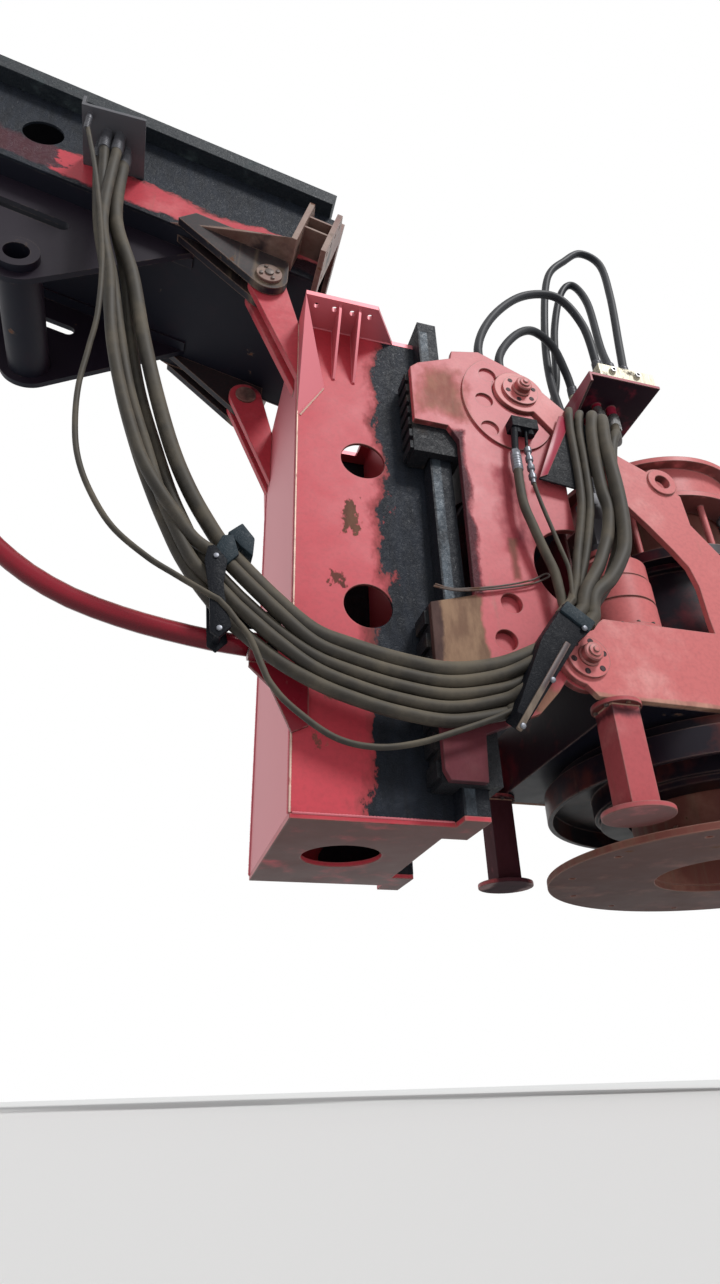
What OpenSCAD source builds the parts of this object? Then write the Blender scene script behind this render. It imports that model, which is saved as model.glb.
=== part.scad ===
// Folding mast end of a rotary piling rig, with its feed sledge, rotary drive and hoses.
// The mast hangs by the pivot bore of its carrier, and that bore is the origin, with Z up.
// The rig's own heights are kept as in the photo: mast_z is measured from the foot of the lower mast.

/* [Mast box] */
// Width of the mast box across the machine
mast_w = 880; // [780:1:960]
// Depth of the mast box from its rear wall to its front wall
mast_d = 590; // [520:1:680]
// Thickness of the four mast walls
wall_t = 14; // [8:1:24]
// Height of the lower mast from its foot to the underside of its flange
lower_h = 2474; // [2440:1:2700]
// Length of the middle mast box above its end flange
mid_len = 2600; // [2300:1:3200]
// Thickness of the foot plate
foot_t = 20; // [12:1:40]
// Radius of the round hole in the foot plate
foot_hole_r = 156; // [100:1:190]
// Distance of the foot hole from the rear wall
foot_hole_x = 290; // [240:1:340]
// Radius of the round holes in the side walls
side_hole_r = 101; // [70:1:120]
// Distance of the side holes from the rear wall
side_hole_x = 302; // [260:1:340]
// Height of the lowest side hole above the foot
side_hole_z = 877; // [820:1:940]
// Pitch of the side holes along the mast
side_hole_pitch = 770; // [700:1:840]
// Rest angle between the middle mast and the upright lower mast
fold_deg = 75; // [70:1:80]

/* [Mast flanges] */
// Thickness of the bolting flanges
flange_t = 28; // [20:1:40]
// Reach of the flanges beyond the side walls
flange_reach = 175; // [150:1:190]
// Depth of the flange wings from the rear wall at the side walls
flange_front = 480; // [460:1:484]
// Depth of the flange wings from the rear wall at their outer edge
flange_outer = 356; // [330:1:400]
// Gap between the two mast sections when the mast is straight
section_gap = 6; // [4:1:12]
// Distance of the second ring of the middle mast above its end flange
ring_rise = 154; // [130:1:200]
// Height of the flange ribs down the wall
rib_h = 344; // [260:1:400]
// Thickness of the flange ribs
rib_t = 12; // [8:1:20]
// Distance of the first flange rib from the rear wall
rib_x = 165; // [150:1:180]
// Pitch of the two flange ribs
rib_pitch = 97; // [80:1:110]
// Height of the folded corner gusset below the flange
gusset_h = 618; // [500:1:680]
// Width of the foot of the corner gusset along the wall
gusset_w = 125; // [100:1:140]
// Height of the upper weld corner of the corner gusset below the flange
gusset_rise = 412; // [380:1:440]
// Radius of the flange bolt holes
bolt_r = 14; // [10:1:18]

/* [Guide rails] */
// Depth of the guide rails in front of the mast box
rail_d = 100; // [80:1:104]
// Distance of the inner faces of the rails from the centre plane
rail_in = 300; // [280:1:340]
// Distance of the outer faces of the rails from the centre plane
rail_out = 520; // [505:1:524]
// Reach of the lower rails above the lower flange
rail_over = 83; // [60:1:100]
// Gap between lower and middle rails when the mast is straight
rail_gap = 15; // [8:1:30]
// relief behind the lower rails' ends, where they lap the middle mast
rail_relief = 1.5; // [1:0.5:3]
// Running gap of the sledge on its rails
guide_gap = 6; // [5:0.5:8]

/* [Fold hinge] */
// Distance of the hinge axis behind the rear wall
hinge_back = 165; // [150:1:190]
// Height of the hinge axis above the top of the lower flange
hinge_up = 233; // [220:1:260]
// Radius of the hinge pins
hinge_pin_r = 45; // [35:1:55]
// Radius of the round lug ends
lug_r = 95; // [80:1:100]
// Thickness of the lugs and ears
lug_t = 40; // [30:1:44]
// Side gap between each lug and its ear
lug_gap = 6; // [5:1:8]
// Radial clearance of pins in their bores
pin_clear = 0.08; // [0.05:0.01:0.1]
// running gap beside a pin's inner head
head_gap = 1; // [0.5:0.5:3]
// Height of the lug's foot below the flange
lug_foot = 374; // [320:1:420]
// Reach of the ears up the middle mast above the hinge axis
ear_reach = 527; // [450:1:600]

/* [Mast carrier] */
// Distance of the carrier bore behind the hinge axis
carrier_back = 381; // [340:1:420]
// Distance of the carrier bore along the mast above the hinge axis
carrier_up = 1107; // [1060:1:1160]
// Radius of the carrier bore
carrier_bore_r = 60; // [50:1:70]
// Outer radius of the carrier tube
carrier_tube_r = 105; // [95:1:120]
// Radius of the round end of the carrier plates
carrier_end_r = 150; // [130:1:170]
// Distance of the carrier plates from the centre plane
carrier_y = 300; // [250:1:330]
// Thickness of the carrier plates
carrier_t = 30; // [20:1:40]
// Length of the carrier's foot along the mast
carrier_foot = 1500; // [1300:1:1560]

/* [Hoses] */
// Outer diameter of the pressure hoses
hose_d = 42; // [36:1:42]
// Outer diameter of the thin drain hose
thin_hose_d = 22; // [16:1:24]
// Number of hoses in the bundle
hose_n = 5; // [4:1:5]

/* [Feed cylinder] */
// Distance of the feed cylinder in front of the mast box
cyl_x = 245; // [235:1:260]
// Outer radius of the feed cylinder barrel
barrel_r = 66; // [60:1:70]
// Radius of the feed cylinder rod
rod_r = 42; // [36:1:46]
// Height of the lower end of the barrel above the foot
barrel_low = 1500; // [1450:1:1560]
// Height of the barrel's upper pin above the foot
barrel_pin_z = 2380; // [2350:1:2410]
// Height of the rod's pin above the foot
rod_pin_z = 760; // [720:1:800]
// Radius of the two cylinder pins
cyl_pin_r = 28; // [22:1:32]

/* [Sledge] */
// Thickness of the sledge side plates
sledge_t = 30; // [22:1:40]
// Height of the top of the upper claws above the foot
claw_top = 2190; // [2150:1:2230]
// Height of the upper claws
claw_h = 540; // [480:1:600]
// Height of the lower end of the lower claws above the foot
claw_low = 115; // [100:1:130]
// Height of the lower claws
claw_low_h = 717; // [660:1:760]
// Number of wear pads on each claw
pad_n = 7; // [5:1:9]
// Height of the drive's upper pins above the foot
upper_pin_z = 2095; // [2060:1:2130]
// Distance of the drive's upper pins from the rear wall
upper_pin_x = 1045; // [1020:1:1070]
// Height of the drive's lower pins above the foot
lower_pin_z = 646; // [620:1:670]
// Distance of the drive's lower pins from the rear wall
lower_pin_x = 1125; // [1100:1:1150]
// Radius of the drive pins
drive_pin_r = 50; // [40:1:56]

/* [Rotary drive] */
// Distance of the drill axis from the rear wall of the mast
drill_x = 2080; // [2040:1:2120]
// Thickness of the drive's side plates
cheek_t = 30; // [22:1:40]
// Height of the underside of the drive frame above the foot
frame_z = 480; // [470:1:490]
// Height of the drive frame
frame_h = 365; // [340:1:380]
// Reach of the drive frame in front of the drill axis
frame_reach = 880; // [860:1:960]
// Radius of the lower drum of the gearbox
drum_r = 760; // [720:1:780]
// Height of the lower drum
drum_h = 180; // [150:1:200]
// Outer radius of the drive sleeve
sleeve_r = 380; // [365:1:390]
// Wall of the drive sleeve
sleeve_t = 50; // [35:1:60]
// Height of the top of the drive sleeve above the foot
sleeve_top = 1900; // [1860:1:1920]
// Number of drive keys inside the sleeve
key_n = 3; // [3:1:6]
// Width of one drive key
key_w = 70; // [50:1:90]
// Depth of one drive key
key_d = 40; // [25:1:50]
// Radius of the turning disc at the bottom
disc_r = 805; // [780:1:820]
// Thickness of the turning disc
disc_t = 30; // [20:1:40]
// Radius of the reducers at the drive frame
reducer_r = 170; // [150:1:180]
// Distance of the reducers from the centre plane
reducer_y = 395; // [380:1:410]
// Distance of the reducers from the drill axis towards the mast
reducer_back = 600; // [590:1:620]

/* [Spring cage] */
// Number of damper springs
spring_n = 8; // [6:1:10]
// Radius of the circle on which the springs stand
spring_ring_r = 450; // [445:1:460]
// Outer radius of one spring
spring_r = 48; // [40:1:50]
// Radius of the spring wire
spring_wire_r = 9; // [7:1:10]
// Free turns of one spring
spring_turns = 6; // [4:1:7]
// Height of the springs between their seats
spring_h = 300; // [270:1:320]
// Height of the lower spring seat above the foot
spring_z = 1430; // [1400:1:1450]
// Outer radius of the cage rings
cage_r = 530; // [515:1:540]

/* [Support legs] */
// Side of the square leg posts
leg_w = 120; // [90:1:130]
// Height of the feet above the foot of the mast
leg_z = 40; // [30:1:60]
// Radius of the round foot pads
leg_pad_r = 132; // [110:1:140]
// Distance of the rear legs behind the drill axis
leg_rear = 830; // [790:1:845]
// Distance of the front legs in front of the drill axis
leg_front = 770; // [755:1:775]
// Distance of the legs from the centre plane
leg_y = 560; // [545:1:575]

/* [Hidden] */
$fn = 64;

// colours as seen in the photo
paint = [0.78, 0.30, 0.33];
worn = [0.52, 0.34, 0.28];
dark = [0.12, 0.11, 0.12];
rubber = [0.30, 0.28, 0.25];
steel = [0.62, 0.62, 0.60];
tan_steel = [0.62, 0.55, 0.42];

// derived places
half_w = mast_w / 2;
hinge_x = -hinge_back;
hinge_z = lower_h + flange_t + hinge_up;
mid_z = lower_h + flange_t + section_gap;
box_z = mid_z + flange_t;
mid_top = box_z + mid_len;
rail_top = lower_h + flange_t + rail_over;
rail_front = mast_d + rail_d;
origin_x = hinge_x - carrier_back * cos(fold_deg) - carrier_up * sin(fold_deg);
origin_z = hinge_z - carrier_back * sin(fold_deg) + carrier_up * cos(fold_deg);
cyl_ax = mast_d + cyl_x;
sledge_in = rail_out + guide_gap + 34;
sledge_out = sledge_in + sledge_t;
cheek_out = sledge_out + cheek_t;
claw_back = flange_front + 24;
web_x = cyl_ax + barrel_r + 24;
web_t = 30;
bore_r = sleeve_r + 15;
frame_top = frame_z + frame_h;
reducer_x = drill_x - reducer_back;
frame_front = drill_x + frame_reach;
frame_back = lower_pin_x + 145;

// helpers
module at_mast() {
  translate([-origin_x, 0, -origin_z]) children();
}
module folded() {
  at_mast() translate([hinge_x, 0, hinge_z]) rotate([0, -fold_deg, 0])
    translate([-hinge_x, 0, -hinge_z]) children();
}
module both_sides() {
  children();
  mirror([0, 1, 0]) children();
}
// a profile drawn in X and Z, laid from y to y + t
module side_plate(y, t) {
  translate([0, y + t, 0]) rotate([90, 0, 0]) linear_extrude(t) children();
}
module y_rod(r, x, z, y, t) {
  translate([x, y + t, z]) rotate([90, 0, 0]) cylinder(r = r, h = t);
}
module block(x, y, z, dx, dy, dz) {
  translate([x, y, z]) cube([dx, dy, dz]);
}
// point where a line from p touches the circle of radius r about c, on the side s
function touch(p, c, r, s) =
  let (v = p - c, a = atan2(v[1], v[0]) + s * acos(r / norm(v)))
  c + r * [cos(a), sin(a)];
// round end at c with straight flanks to p and q
module lug_shape(c, r, p, q) {
  translate(c) circle(r);
  polygon([c, touch(p, c, r, -1), p, q, touch(q, c, r, 1)]);
}

// smooth curve through the points of a route
function curve(a, b, c, d, t) =
  0.5 * ((2 * b) + (c - a) * t + (2 * a - 5 * b + 4 * c - d) * t * t
  + (3 * b - a - 3 * c + d) * t * t * t);
function route(p, n) =
  let (m = len(p) - 1)
  [for (i = [0 : m - 1], j = [0 : n - 1])
    curve(p[max(i - 1, 0)], p[i], p[i + 1], p[min(i + 2, m)], j / n), p[m]];
function unit(v) = v / norm(v);
function ring(c, t, r, k, up) =
  let (n = unit(cross(t, up)), b = cross(t, n))
  [for (i = [0 : k - 1]) c + r * (cos(360 * i / k) * n + sin(360 * i / k) * b)];
// tube of radius r along the route p, with k sides; up is never along the route
module tube(p, r, k, up = [0.08, 1, 0.05]) {
  m = len(p);
  pts = [for (i = [0 : m - 1])
    each ring(p[i], unit(p[min(i + 1, m - 1)] - p[max(i - 1, 0)]), r, k, up)];
  sides = [for (i = [0 : m - 2], j = [0 : k - 1])
    each [[i * k + j, (i + 1) * k + j, (i + 1) * k + (j + 1) % k],
      [i * k + j, (i + 1) * k + (j + 1) % k, i * k + (j + 1) % k]]];
  ends = [[for (j = [0 : k - 1]) j], [for (j = [k - 1 : -1 : 0]) (m - 1) * k + j]];
  polyhedron(points = pts, faces = concat(sides, ends), convexity = 10);
}

// wing outline of a bolting flange, seen from above
module flange_outline() {
  polygon([[0, -half_w - flange_reach], [flange_outer, -half_w - flange_reach],
    [flange_front, -half_w], [mast_d, -half_w], [mast_d, half_w], [flange_front, half_w],
    [flange_outer, half_w + flange_reach], [0, half_w + flange_reach]]);
}
module box_inside() {
  translate([wall_t + 60, -half_w + wall_t + 60])
    square([mast_d - 2 * wall_t - 120, mast_w - 2 * wall_t - 120]);
}
module flange_bolts(n) {
  for (s = [-1, 1], i = [0 : n - 1])
    translate([60 + i * (flange_outer - 90) / (n - 1), s * (half_w + flange_reach - 50)])
      circle(bolt_r, $fn = 24);
}
// flange plate at height z
module flange_plate(z) {
  translate([0, 0, z]) linear_extrude(flange_t) difference() {
    flange_outline();
    box_inside();
    flange_bolts(4);
  }
}
// thin rib between wall and wing, its tip dz along the mast
module wing_rib(x, z, dz) {
  translate([x + rib_t, 0, 0]) rotate([0, -90, 0]) linear_extrude(rib_t)
    polygon([[z, half_w], [z, half_w + flange_reach - 20], [z + 0.1 * dz, half_w + flange_reach - 20],
      [z + dz, half_w + 8], [z + dz, half_w]]);
}
// folded corner gusset, its tip on the wing and its foot on the wall
module corner_gusset(z, s) {
  polyhedron(points = [[0, half_w, z], [0, half_w + flange_reach, z], [0, half_w, z - s * gusset_h],
    [gusset_w, half_w, z - s * gusset_rise], [gusset_w * 0.5, half_w, z]],
    faces = s > 0 ? [[0, 2, 1], [1, 2, 3], [1, 3, 4], [0, 1, 4], [0, 4, 3, 2]]
      : [[0, 1, 2], [1, 3, 2], [1, 4, 3], [0, 4, 1], [0, 2, 3, 4]]);
}

// side wall of a mast section with its round holes
module side_wall(z0, z1, first, n) {
  side_plate(half_w - wall_t, wall_t) difference() {
    translate([0, z0]) square([mast_d, z1 - z0]);
    for (i = [0 : n - 1]) translate([side_hole_x, first + i * side_hole_pitch]) circle(side_hole_r);
  }
}
module front_rear(z0, z1) {
  for (x = [0, mast_d - wall_t])
    block(x, -half_w + wall_t, z0, wall_t, mast_w - 2 * wall_t, z1 - z0);
}
module rail(z0, z1) {
  block(mast_d, rail_in, z0, rail_d, rail_out - rail_in, z1 - z0);
}

module mid_mast_sides() {
  color(paint) folded() both_sides() side_wall(box_z, mid_top, box_z + 1560, 2);
}
module mid_mast_front_rear() {
  color(worn) folded() front_rear(box_z, mid_top);
}
module mid_mast_flanges() {
  color(tan_steel) folded() {
    flange_plate(mid_z);
    flange_plate(mid_top);
    both_sides() {
      translate([0, 0, box_z + ring_rise - flange_t]) linear_extrude(flange_t)
        polygon([[0, half_w], [0, half_w + flange_reach], [flange_outer, half_w + flange_reach],
          [flange_front, half_w]]);
      for (i = [0, 1]) block(rib_x + i * rib_pitch, half_w, box_z, rib_t, flange_reach - 20,
        ring_rise - flange_t);
      corner_gusset(box_z + ring_rise, -1);
    }
  }
}
module mid_mast_ears() {
  c = [hinge_x, hinge_z];
  top = hinge_z + ear_reach;
  foot = box_z + ring_rise + 4;
  color(worn) folded() both_sides() {
    difference() {
      union() {
        side_plate(half_w + lug_gap, lug_t) lug_shape(c, lug_r, [-2, hinge_z - 60], [-2, top]);
        side_plate(half_w, lug_gap + lug_t) polygon([[-2, hinge_z - 60], [90, foot + 40],
          [90, top - 60], [-2, top]]);
      }
      y_rod(hinge_pin_r + pin_clear, hinge_x, hinge_z, half_w, lug_t + lug_gap + 1);
      corner_gusset(box_z + ring_rise, -1);
      block(-10, half_w - 1, box_z - 60, 120, lug_t + lug_gap + 2, ring_rise + 60);
    }
    difference() {
      side_plate(half_w - 2 * lug_t - lug_gap, lug_t)
        lug_shape(c, lug_r, [0, hinge_z - 60], [0, top]);
      y_rod(hinge_pin_r + pin_clear, hinge_x, hinge_z, half_w - 3 * lug_t, 2 * lug_t + lug_gap);
    }
  }
}
module mid_guide_rails() {
  color(dark) folded() both_sides() rail(rail_top + rail_gap, mid_top);
}
module carrier_profile() {
  c = [hinge_x - carrier_back, hinge_z + carrier_up];
  low = hinge_z + carrier_up - 0.45 * carrier_foot;
  lug_shape(c, carrier_end_r, [0, low], [0, low + carrier_foot]);
}
module mast_carrier() {
  cx = hinge_x - carrier_back;
  cz = hinge_z + carrier_up;
  color(worn) folded() difference() {
    union() {
      both_sides() {
        side_plate(carrier_y, carrier_t) difference() {
          carrier_profile();
          translate([-230, cz - 60]) square([70, 420]);
          translate([-195, cz - 60]) circle(35);
          translate([-195, cz + 360]) circle(35);
        }
        block(-14, carrier_y - 60, cz - 0.45 * carrier_foot, 14, 60, carrier_foot);
      }
      y_rod(carrier_tube_r, cx, cz, -carrier_y - carrier_t - 40, 2 * (carrier_y + carrier_t + 40));
      block(-150, -carrier_y, cz + 500, 150, 2 * carrier_y, 24);
    }
    y_rod(carrier_bore_r, cx, cz, -mast_w, 2 * mast_w);
  }
}
module hinge_pins() {
  color(worn) folded() both_sides() {
    y_rod(hinge_pin_r, hinge_x, hinge_z, half_w - 3 * lug_t - 2 * lug_gap - 6,
      4 * lug_t + 3 * lug_gap + 6);
    y_rod(hinge_pin_r + 20, hinge_x, hinge_z, half_w + lug_gap + lug_t, 16);
    y_rod(hinge_pin_r + 14, hinge_x, hinge_z, half_w - 3 * lug_t - 2 * lug_gap - 14 - head_gap, 14);
  }
}

// hose routes, in X, Y and Z from the mast's foot
bulk_x = -985;
bulk_z = 3350;
bulk_t = 20;
clamp_len = 70;
hose_r = hose_d / 2;
thin_r = thin_hose_d / 2;
stagger = 48;
// place, direction and spread of hose k at a station: s holds [x, y, z, dx, dz, row step]
function station(s, k) = [s[0] + s[3] * k, s[1] - s[5] * (k % 2), s[2] + s[4] * k];
clamp1_s = [-235, -560, 875, -14, -53, 28];
clamp2_s = [985, -660, 735, -22, -57, stagger];
function clamp1(k) = station(clamp1_s, k);
function clamp2(k) = station(clamp2_s, k);
clamp1_u = unit([0.74, 0, -0.67]);
clamp2_u = unit([0.77, 0, 0.638]);
thin1 = [-277, -640, 716];
thin2 = [880, -700, 420];
bulk_s = [bulk_x + 60, -560, bulk_z, -30, 0, 62];
function bulk(k) = station(bulk_s, k);
drop_s = [[-925, -585, 2850, -28, 0, stagger], [-825, -585, 2300, -28, 0, stagger],
  [-672, -585, 1760, -30, 0, stagger], [-470, -585, 1300, -40, 0, stagger],
  [-360, -575, 1100, -46, -16, 36]];
loop_s = [[-110, -576, 735, -20, -48, 20], [15, -590, 630, -18, -48, 6],
  [175, -600, 560, -12, -48, 0], [355, -610, 525, -6, -48, 0], [545, -620, 522, -2, -48, 0],
  [740, -646, 570, -5, -48, 24], [870, -658, 645, -14, -50, stagger]];
thin_drop = [[-1010, -690, 2900], [-900, -690, 1980], [-880, -690, 1550], [-830, -690, 1215],
  [-700, -680, 970], [-545, -660, 865]];
thin_loop = [[-105, -660, 495], [35, -660, 305], [170, -660, 225], [305, -660, 200],
  [445, -665, 215], [630, -675, 270], [760, -690, 330]];
module hose_bulkhead() {
  color(dark) at_mast() difference() {
    union() {
      block(bulk_x - 150, -half_w - 290, bulk_z, 300, 290, bulk_t);
      block(bulk_x - 150, -half_w - 290, bulk_z + bulk_t, 14, 290, 60);
      side_plate(-half_w - 14, 14) polygon([[bulk_x - 150, bulk_z + bulk_t],
        [bulk_x + 150, bulk_z + bulk_t], [bulk_x + 110, bulk_z + 140], [bulk_x - 110, bulk_z + 140]]);
    }
    for (k = [0 : hose_n - 1]) translate(bulk(k) - [0, 0, 1]) cylinder(r = hose_r - 8, h = bulk_t + 2);
  }
  color(steel) at_mast() {
    for (k = [0 : hose_n - 1]) translate(bulk(k) - [0, 0, 60]) cylinder(r = hose_r + 5, h = 60);
    translate([bulk_x - 110, -690, bulk_z - 50]) cylinder(r = thin_r + 5, h = 50);
  }
}
// tube between two faces, leaving and meeting them squarely
module hose(a, ua, mid, b, ub, r, n, k) {
  e = 0.3;
  tube(concat([a + ua * e], route(concat([a + ua * 60], mid, [b - ub * 60]), n), [b - ub * e]), r, k);
}
module drop_hoses() {
  down = [0, 0, -1];
  h = clamp_len / 2;
  color(rubber) at_mast() {
    for (k = [0 : hose_n - 1]) hose(bulk(k) - [0, 0, 60], down, [for (s = drop_s) station(s, k)],
      clamp1(k) - clamp1_u * h, clamp1_u, hose_r, 3, 8);
    hose([bulk_x - 110, -690, bulk_z - 50], down, thin_drop, thin1 - clamp1_u * 20, clamp1_u,
      thin_r, 2, 6);
  }
}

module lower_mast_sides() {
  color(paint) at_mast() both_sides() side_wall(foot_t, lower_h, side_hole_z, 2);
}
module lower_mast_front_rear() {
  color(paint) at_mast() front_rear(foot_t, lower_h);
}
module lower_mast_foot() {
  color(worn) at_mast() difference() {
    union() {
      block(0, -half_w, 0, mast_d, mast_w, foot_t);
      both_sides() block(mast_d, rail_in, 0, rail_d, rail_out - rail_in, foot_t);
    }
    translate([foot_hole_x, 0, -1]) cylinder(r = foot_hole_r, h = foot_t + 2);
  }
}
module lower_mast_flange() {
  color(paint) at_mast() {
    flange_plate(lower_h);
    both_sides() {
      for (i = [0, 1]) wing_rib(rib_x + i * rib_pitch, lower_h, -rib_h);
      corner_gusset(lower_h, 1);
    }
  }
}
module lower_mast_lugs() {
  c = [hinge_x, hinge_z];
  color(paint) at_mast() both_sides() for (i = [0, 1]) difference() {
    side_plate(half_w - lug_t - i * 2 * (lug_t + lug_gap), lug_t)
      lug_shape(c, lug_r, [0, lower_h - lug_foot], [0, lower_h]);
    y_rod(hinge_pin_r + pin_clear, hinge_x, hinge_z, half_w - 4 * lug_t, 5 * lug_t);
  }
}
module lower_guide_rails() {
  color(dark) at_mast() both_sides() difference() {
    rail(foot_t, rail_top);
    block(mast_d - 1, rail_in - 1, lower_h + flange_t, rail_relief + 1, rail_out - rail_in + 2,
      rail_over + 1);
  }
}
module feed_cylinder_barrel() {
  color(paint) at_mast() difference() {
    union() {
      translate([cyl_ax, 0, barrel_low]) cylinder(r = barrel_r, h = barrel_pin_z - barrel_low - 110);
      translate([cyl_ax, 0, barrel_low]) cylinder(r = barrel_r + 8, h = 60);
      y_rod(50, cyl_ax, barrel_pin_z, -40, 80);
      block(cyl_ax - 50, -40, barrel_pin_z - 115, 100, 80, 115);
    }
    translate([cyl_ax, 0, barrel_low - 1]) cylinder(r = rod_r + pin_clear, h = 80);
    translate([cyl_ax, 0, barrel_low + 70]) cylinder(r = barrel_r - 12,
      h = barrel_pin_z - barrel_low - 240);
    y_rod(cyl_pin_r + pin_clear, cyl_ax, barrel_pin_z, -41, 82);
  }
}
module feed_cylinder_bracket() {
  color(paint) at_mast() both_sides() difference() {
    side_plate(41, 30) lug_shape([cyl_ax, barrel_pin_z], 55, [mast_d, lower_h - 10],
      [mast_d, lower_h - 300]);
    y_rod(cyl_pin_r + pin_clear, cyl_ax, barrel_pin_z, 0, 90);
  }
}
module feed_cylinder_pins() {
  color(steel) at_mast() {
    y_rod(cyl_pin_r, cyl_ax, barrel_pin_z, -78, 156);
    both_sides() y_rod(cyl_pin_r + 8, cyl_ax, barrel_pin_z, 71.3, 8);
  }
}
// bosses of a hose clamp, one on each hose, with the jaws that join them
module clamp_bosses(s, u, r) {
  a = atan2(u[2], u[0]);
  for (k = [0 : hose_n - 1]) translate(station(s, k)) rotate([0, 90 - a, 0])
    translate([0, 0, -clamp_len / 2]) cylinder(r = r, h = clamp_len);
}
module upper_hose_clamp() {
  m = (clamp1(0) + clamp1(hose_n - 1)) / 2;
  a = atan2(clamp1_u[2], clamp1_u[0]);
  color(dark) at_mast() {
    clamp_bosses(clamp1_s, clamp1_u, hose_r + 7);
    translate([m[0] + 8, m[1] + 22, m[2] + 30]) rotate([0, -15, 0]) translate([-45, 0, -150])
      cube([90, 18, 360]);
    translate([m[0] + 62, m[1] - 36, m[2] + 150]) rotate([0, -15, 0]) cube([60, 90, 60]);
    side_plate(-half_w - 82, 32) polygon([[m[0] - 60, m[2] - 40], [10, m[2] - 90],
      [60, m[2] - 60], [60, m[2] + 120], [m[0] + 60, m[2] + 180], [m[0] - 20, m[2] + 140]]);
    block(10, -half_w - 50, m[2] - 80, 50, 50, 190);
    translate(thin1) rotate([0, 90 - a, 0]) translate([0, 0, -20]) cylinder(r = thin_r + 6, h = 40);
    translate([thin1[0] - 8, thin1[1], thin1[2] - 8]) cube([16, 44, 16]);
  }
}
stay_r = 38;
stay_y = -476;
stay_route = [[-170, stay_y, 610], [-300, stay_y, 618], [-460, stay_y, 640], [-620, stay_y, 672],
  [-790, stay_y, 724], [-940, stay_y, 800], [-1060, stay_y, 890], [-1130, stay_y, 960]];
module stay_tube() {
  color(paint) at_mast() {
    tube(route(stay_route, 2), stay_r, 12);
  }
}
module stay_tube_bracket() {
  color(paint) at_mast() {
    side_plate(-half_w - 14, 14) polygon([[-40, 700], [60, 640], [60, 330], [0, 300], [-80, 470],
      [-160, 545], [-160, 665]]);
    side_plate(-half_w - 46, 32) polygon([[-166, 572], [-60, 560], [-60, 648], [-166, 648]]);
    translate([-168, stay_y, 610]) rotate([0, 90, 0]) cylinder(r = stay_r + 14, h = 60);
  }
}
module loop_hoses() {
  h = clamp_len / 2;
  color(rubber) at_mast() {
    for (k = [0 : hose_n - 1]) hose(clamp1(k) + clamp1_u * h, clamp1_u,
      [for (s = loop_s) station(s, k)], clamp2(k) - clamp2_u * h, clamp2_u, hose_r, 2, 8);
    hose(thin1 + clamp1_u * 20, clamp1_u, thin_loop, thin2 - clamp2_u * 20, clamp2_u, thin_r, 2, 6);
  }
}

// plan of one sledge side plate
module sledge_profile() {
  difference() {
    union() {
      polygon([[claw_back, claw_top - claw_h + 160], [claw_back, claw_top - 40],
        [claw_back + 40, claw_top], [716, claw_top + 80], [726, claw_top + 134],
        [upper_pin_x - 172, claw_top + 172], [upper_pin_x + 42, claw_top + 75],
        [upper_pin_x + 162, claw_top - 130], [upper_pin_x + 190, claw_top - 335],
        [upper_pin_x + 170, 1500], [lower_pin_x + 92, 800], [lower_pin_x - 128, 498],
        [lower_pin_x - 220, 400], [claw_back + 170, claw_low + 180], [claw_back + 160, claw_low],
        [claw_back + 20, claw_low], [claw_back, claw_low + 40], [claw_back, claw_low + claw_low_h],
        [claw_back + 190, claw_low + claw_low_h + 60], [claw_back + 205, claw_top - claw_h + 80],
        [claw_back + 160, claw_top - claw_h + 158]]);
      translate([lower_pin_x, lower_pin_z]) circle(130);
    }
    translate([lower_pin_x + 75, 1090]) circle(215);
    translate([852, 876]) circle(46);
    translate([807, 700]) circle(46);
    translate([upper_pin_x, upper_pin_z]) circle(drive_pin_r + pin_clear);
    translate([lower_pin_x, lower_pin_z]) circle(drive_pin_r + pin_clear);
  }
}
module sledge_side_plates() {
  color(paint) at_mast() both_sides() side_plate(sledge_in, sledge_t) sledge_profile();
}
module sledge_doublers() {
  color(paint) at_mast() both_sides() side_plate(sledge_out, 12) difference() {
    intersection() {
      translate([upper_pin_x - 60, upper_pin_z - 70]) scale([0.78, 1]) circle(300);
      translate([0, -60]) sledge_profile();
    }
    for (p = [[-148, 97], [-185, -84], [-176, -264]])
      translate([upper_pin_x + p[0], upper_pin_z + p[1]]) circle(44);
    translate([upper_pin_x, upper_pin_z]) circle(drive_pin_r + 86);
    translate([upper_pin_x, upper_pin_z]) polygon([[-130, 0], [-25, -137], [52, -130], [440, -626],
      [440, 300], [26, 138]]);
  }
}
module sledge_cross_frame() {
  color(paint) at_mast() {
    difference() {
      block(web_x, -sledge_in, 1300, web_t, 2 * sledge_in, claw_top - 1300);
      translate([web_x - 1, 0, 1700]) rotate([0, 90, 0]) cylinder(r = 150, h = web_t + 2);
    }
    block(web_x, -sledge_in, 500, web_t, 2 * sledge_in, 380);
    for (z = [claw_top - 24, 1300])
      block(web_x + web_t, -sledge_in, z, 190, 2 * sledge_in, 24);
    both_sides() difference() {
      side_plate(41, 30) lug_shape([cyl_ax, rod_pin_z], 48, [web_x, rod_pin_z - 140],
        [web_x, rod_pin_z + 110]);
      y_rod(cyl_pin_r + pin_clear, cyl_ax, rod_pin_z, 0, 90);
    }
  }
}
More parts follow.
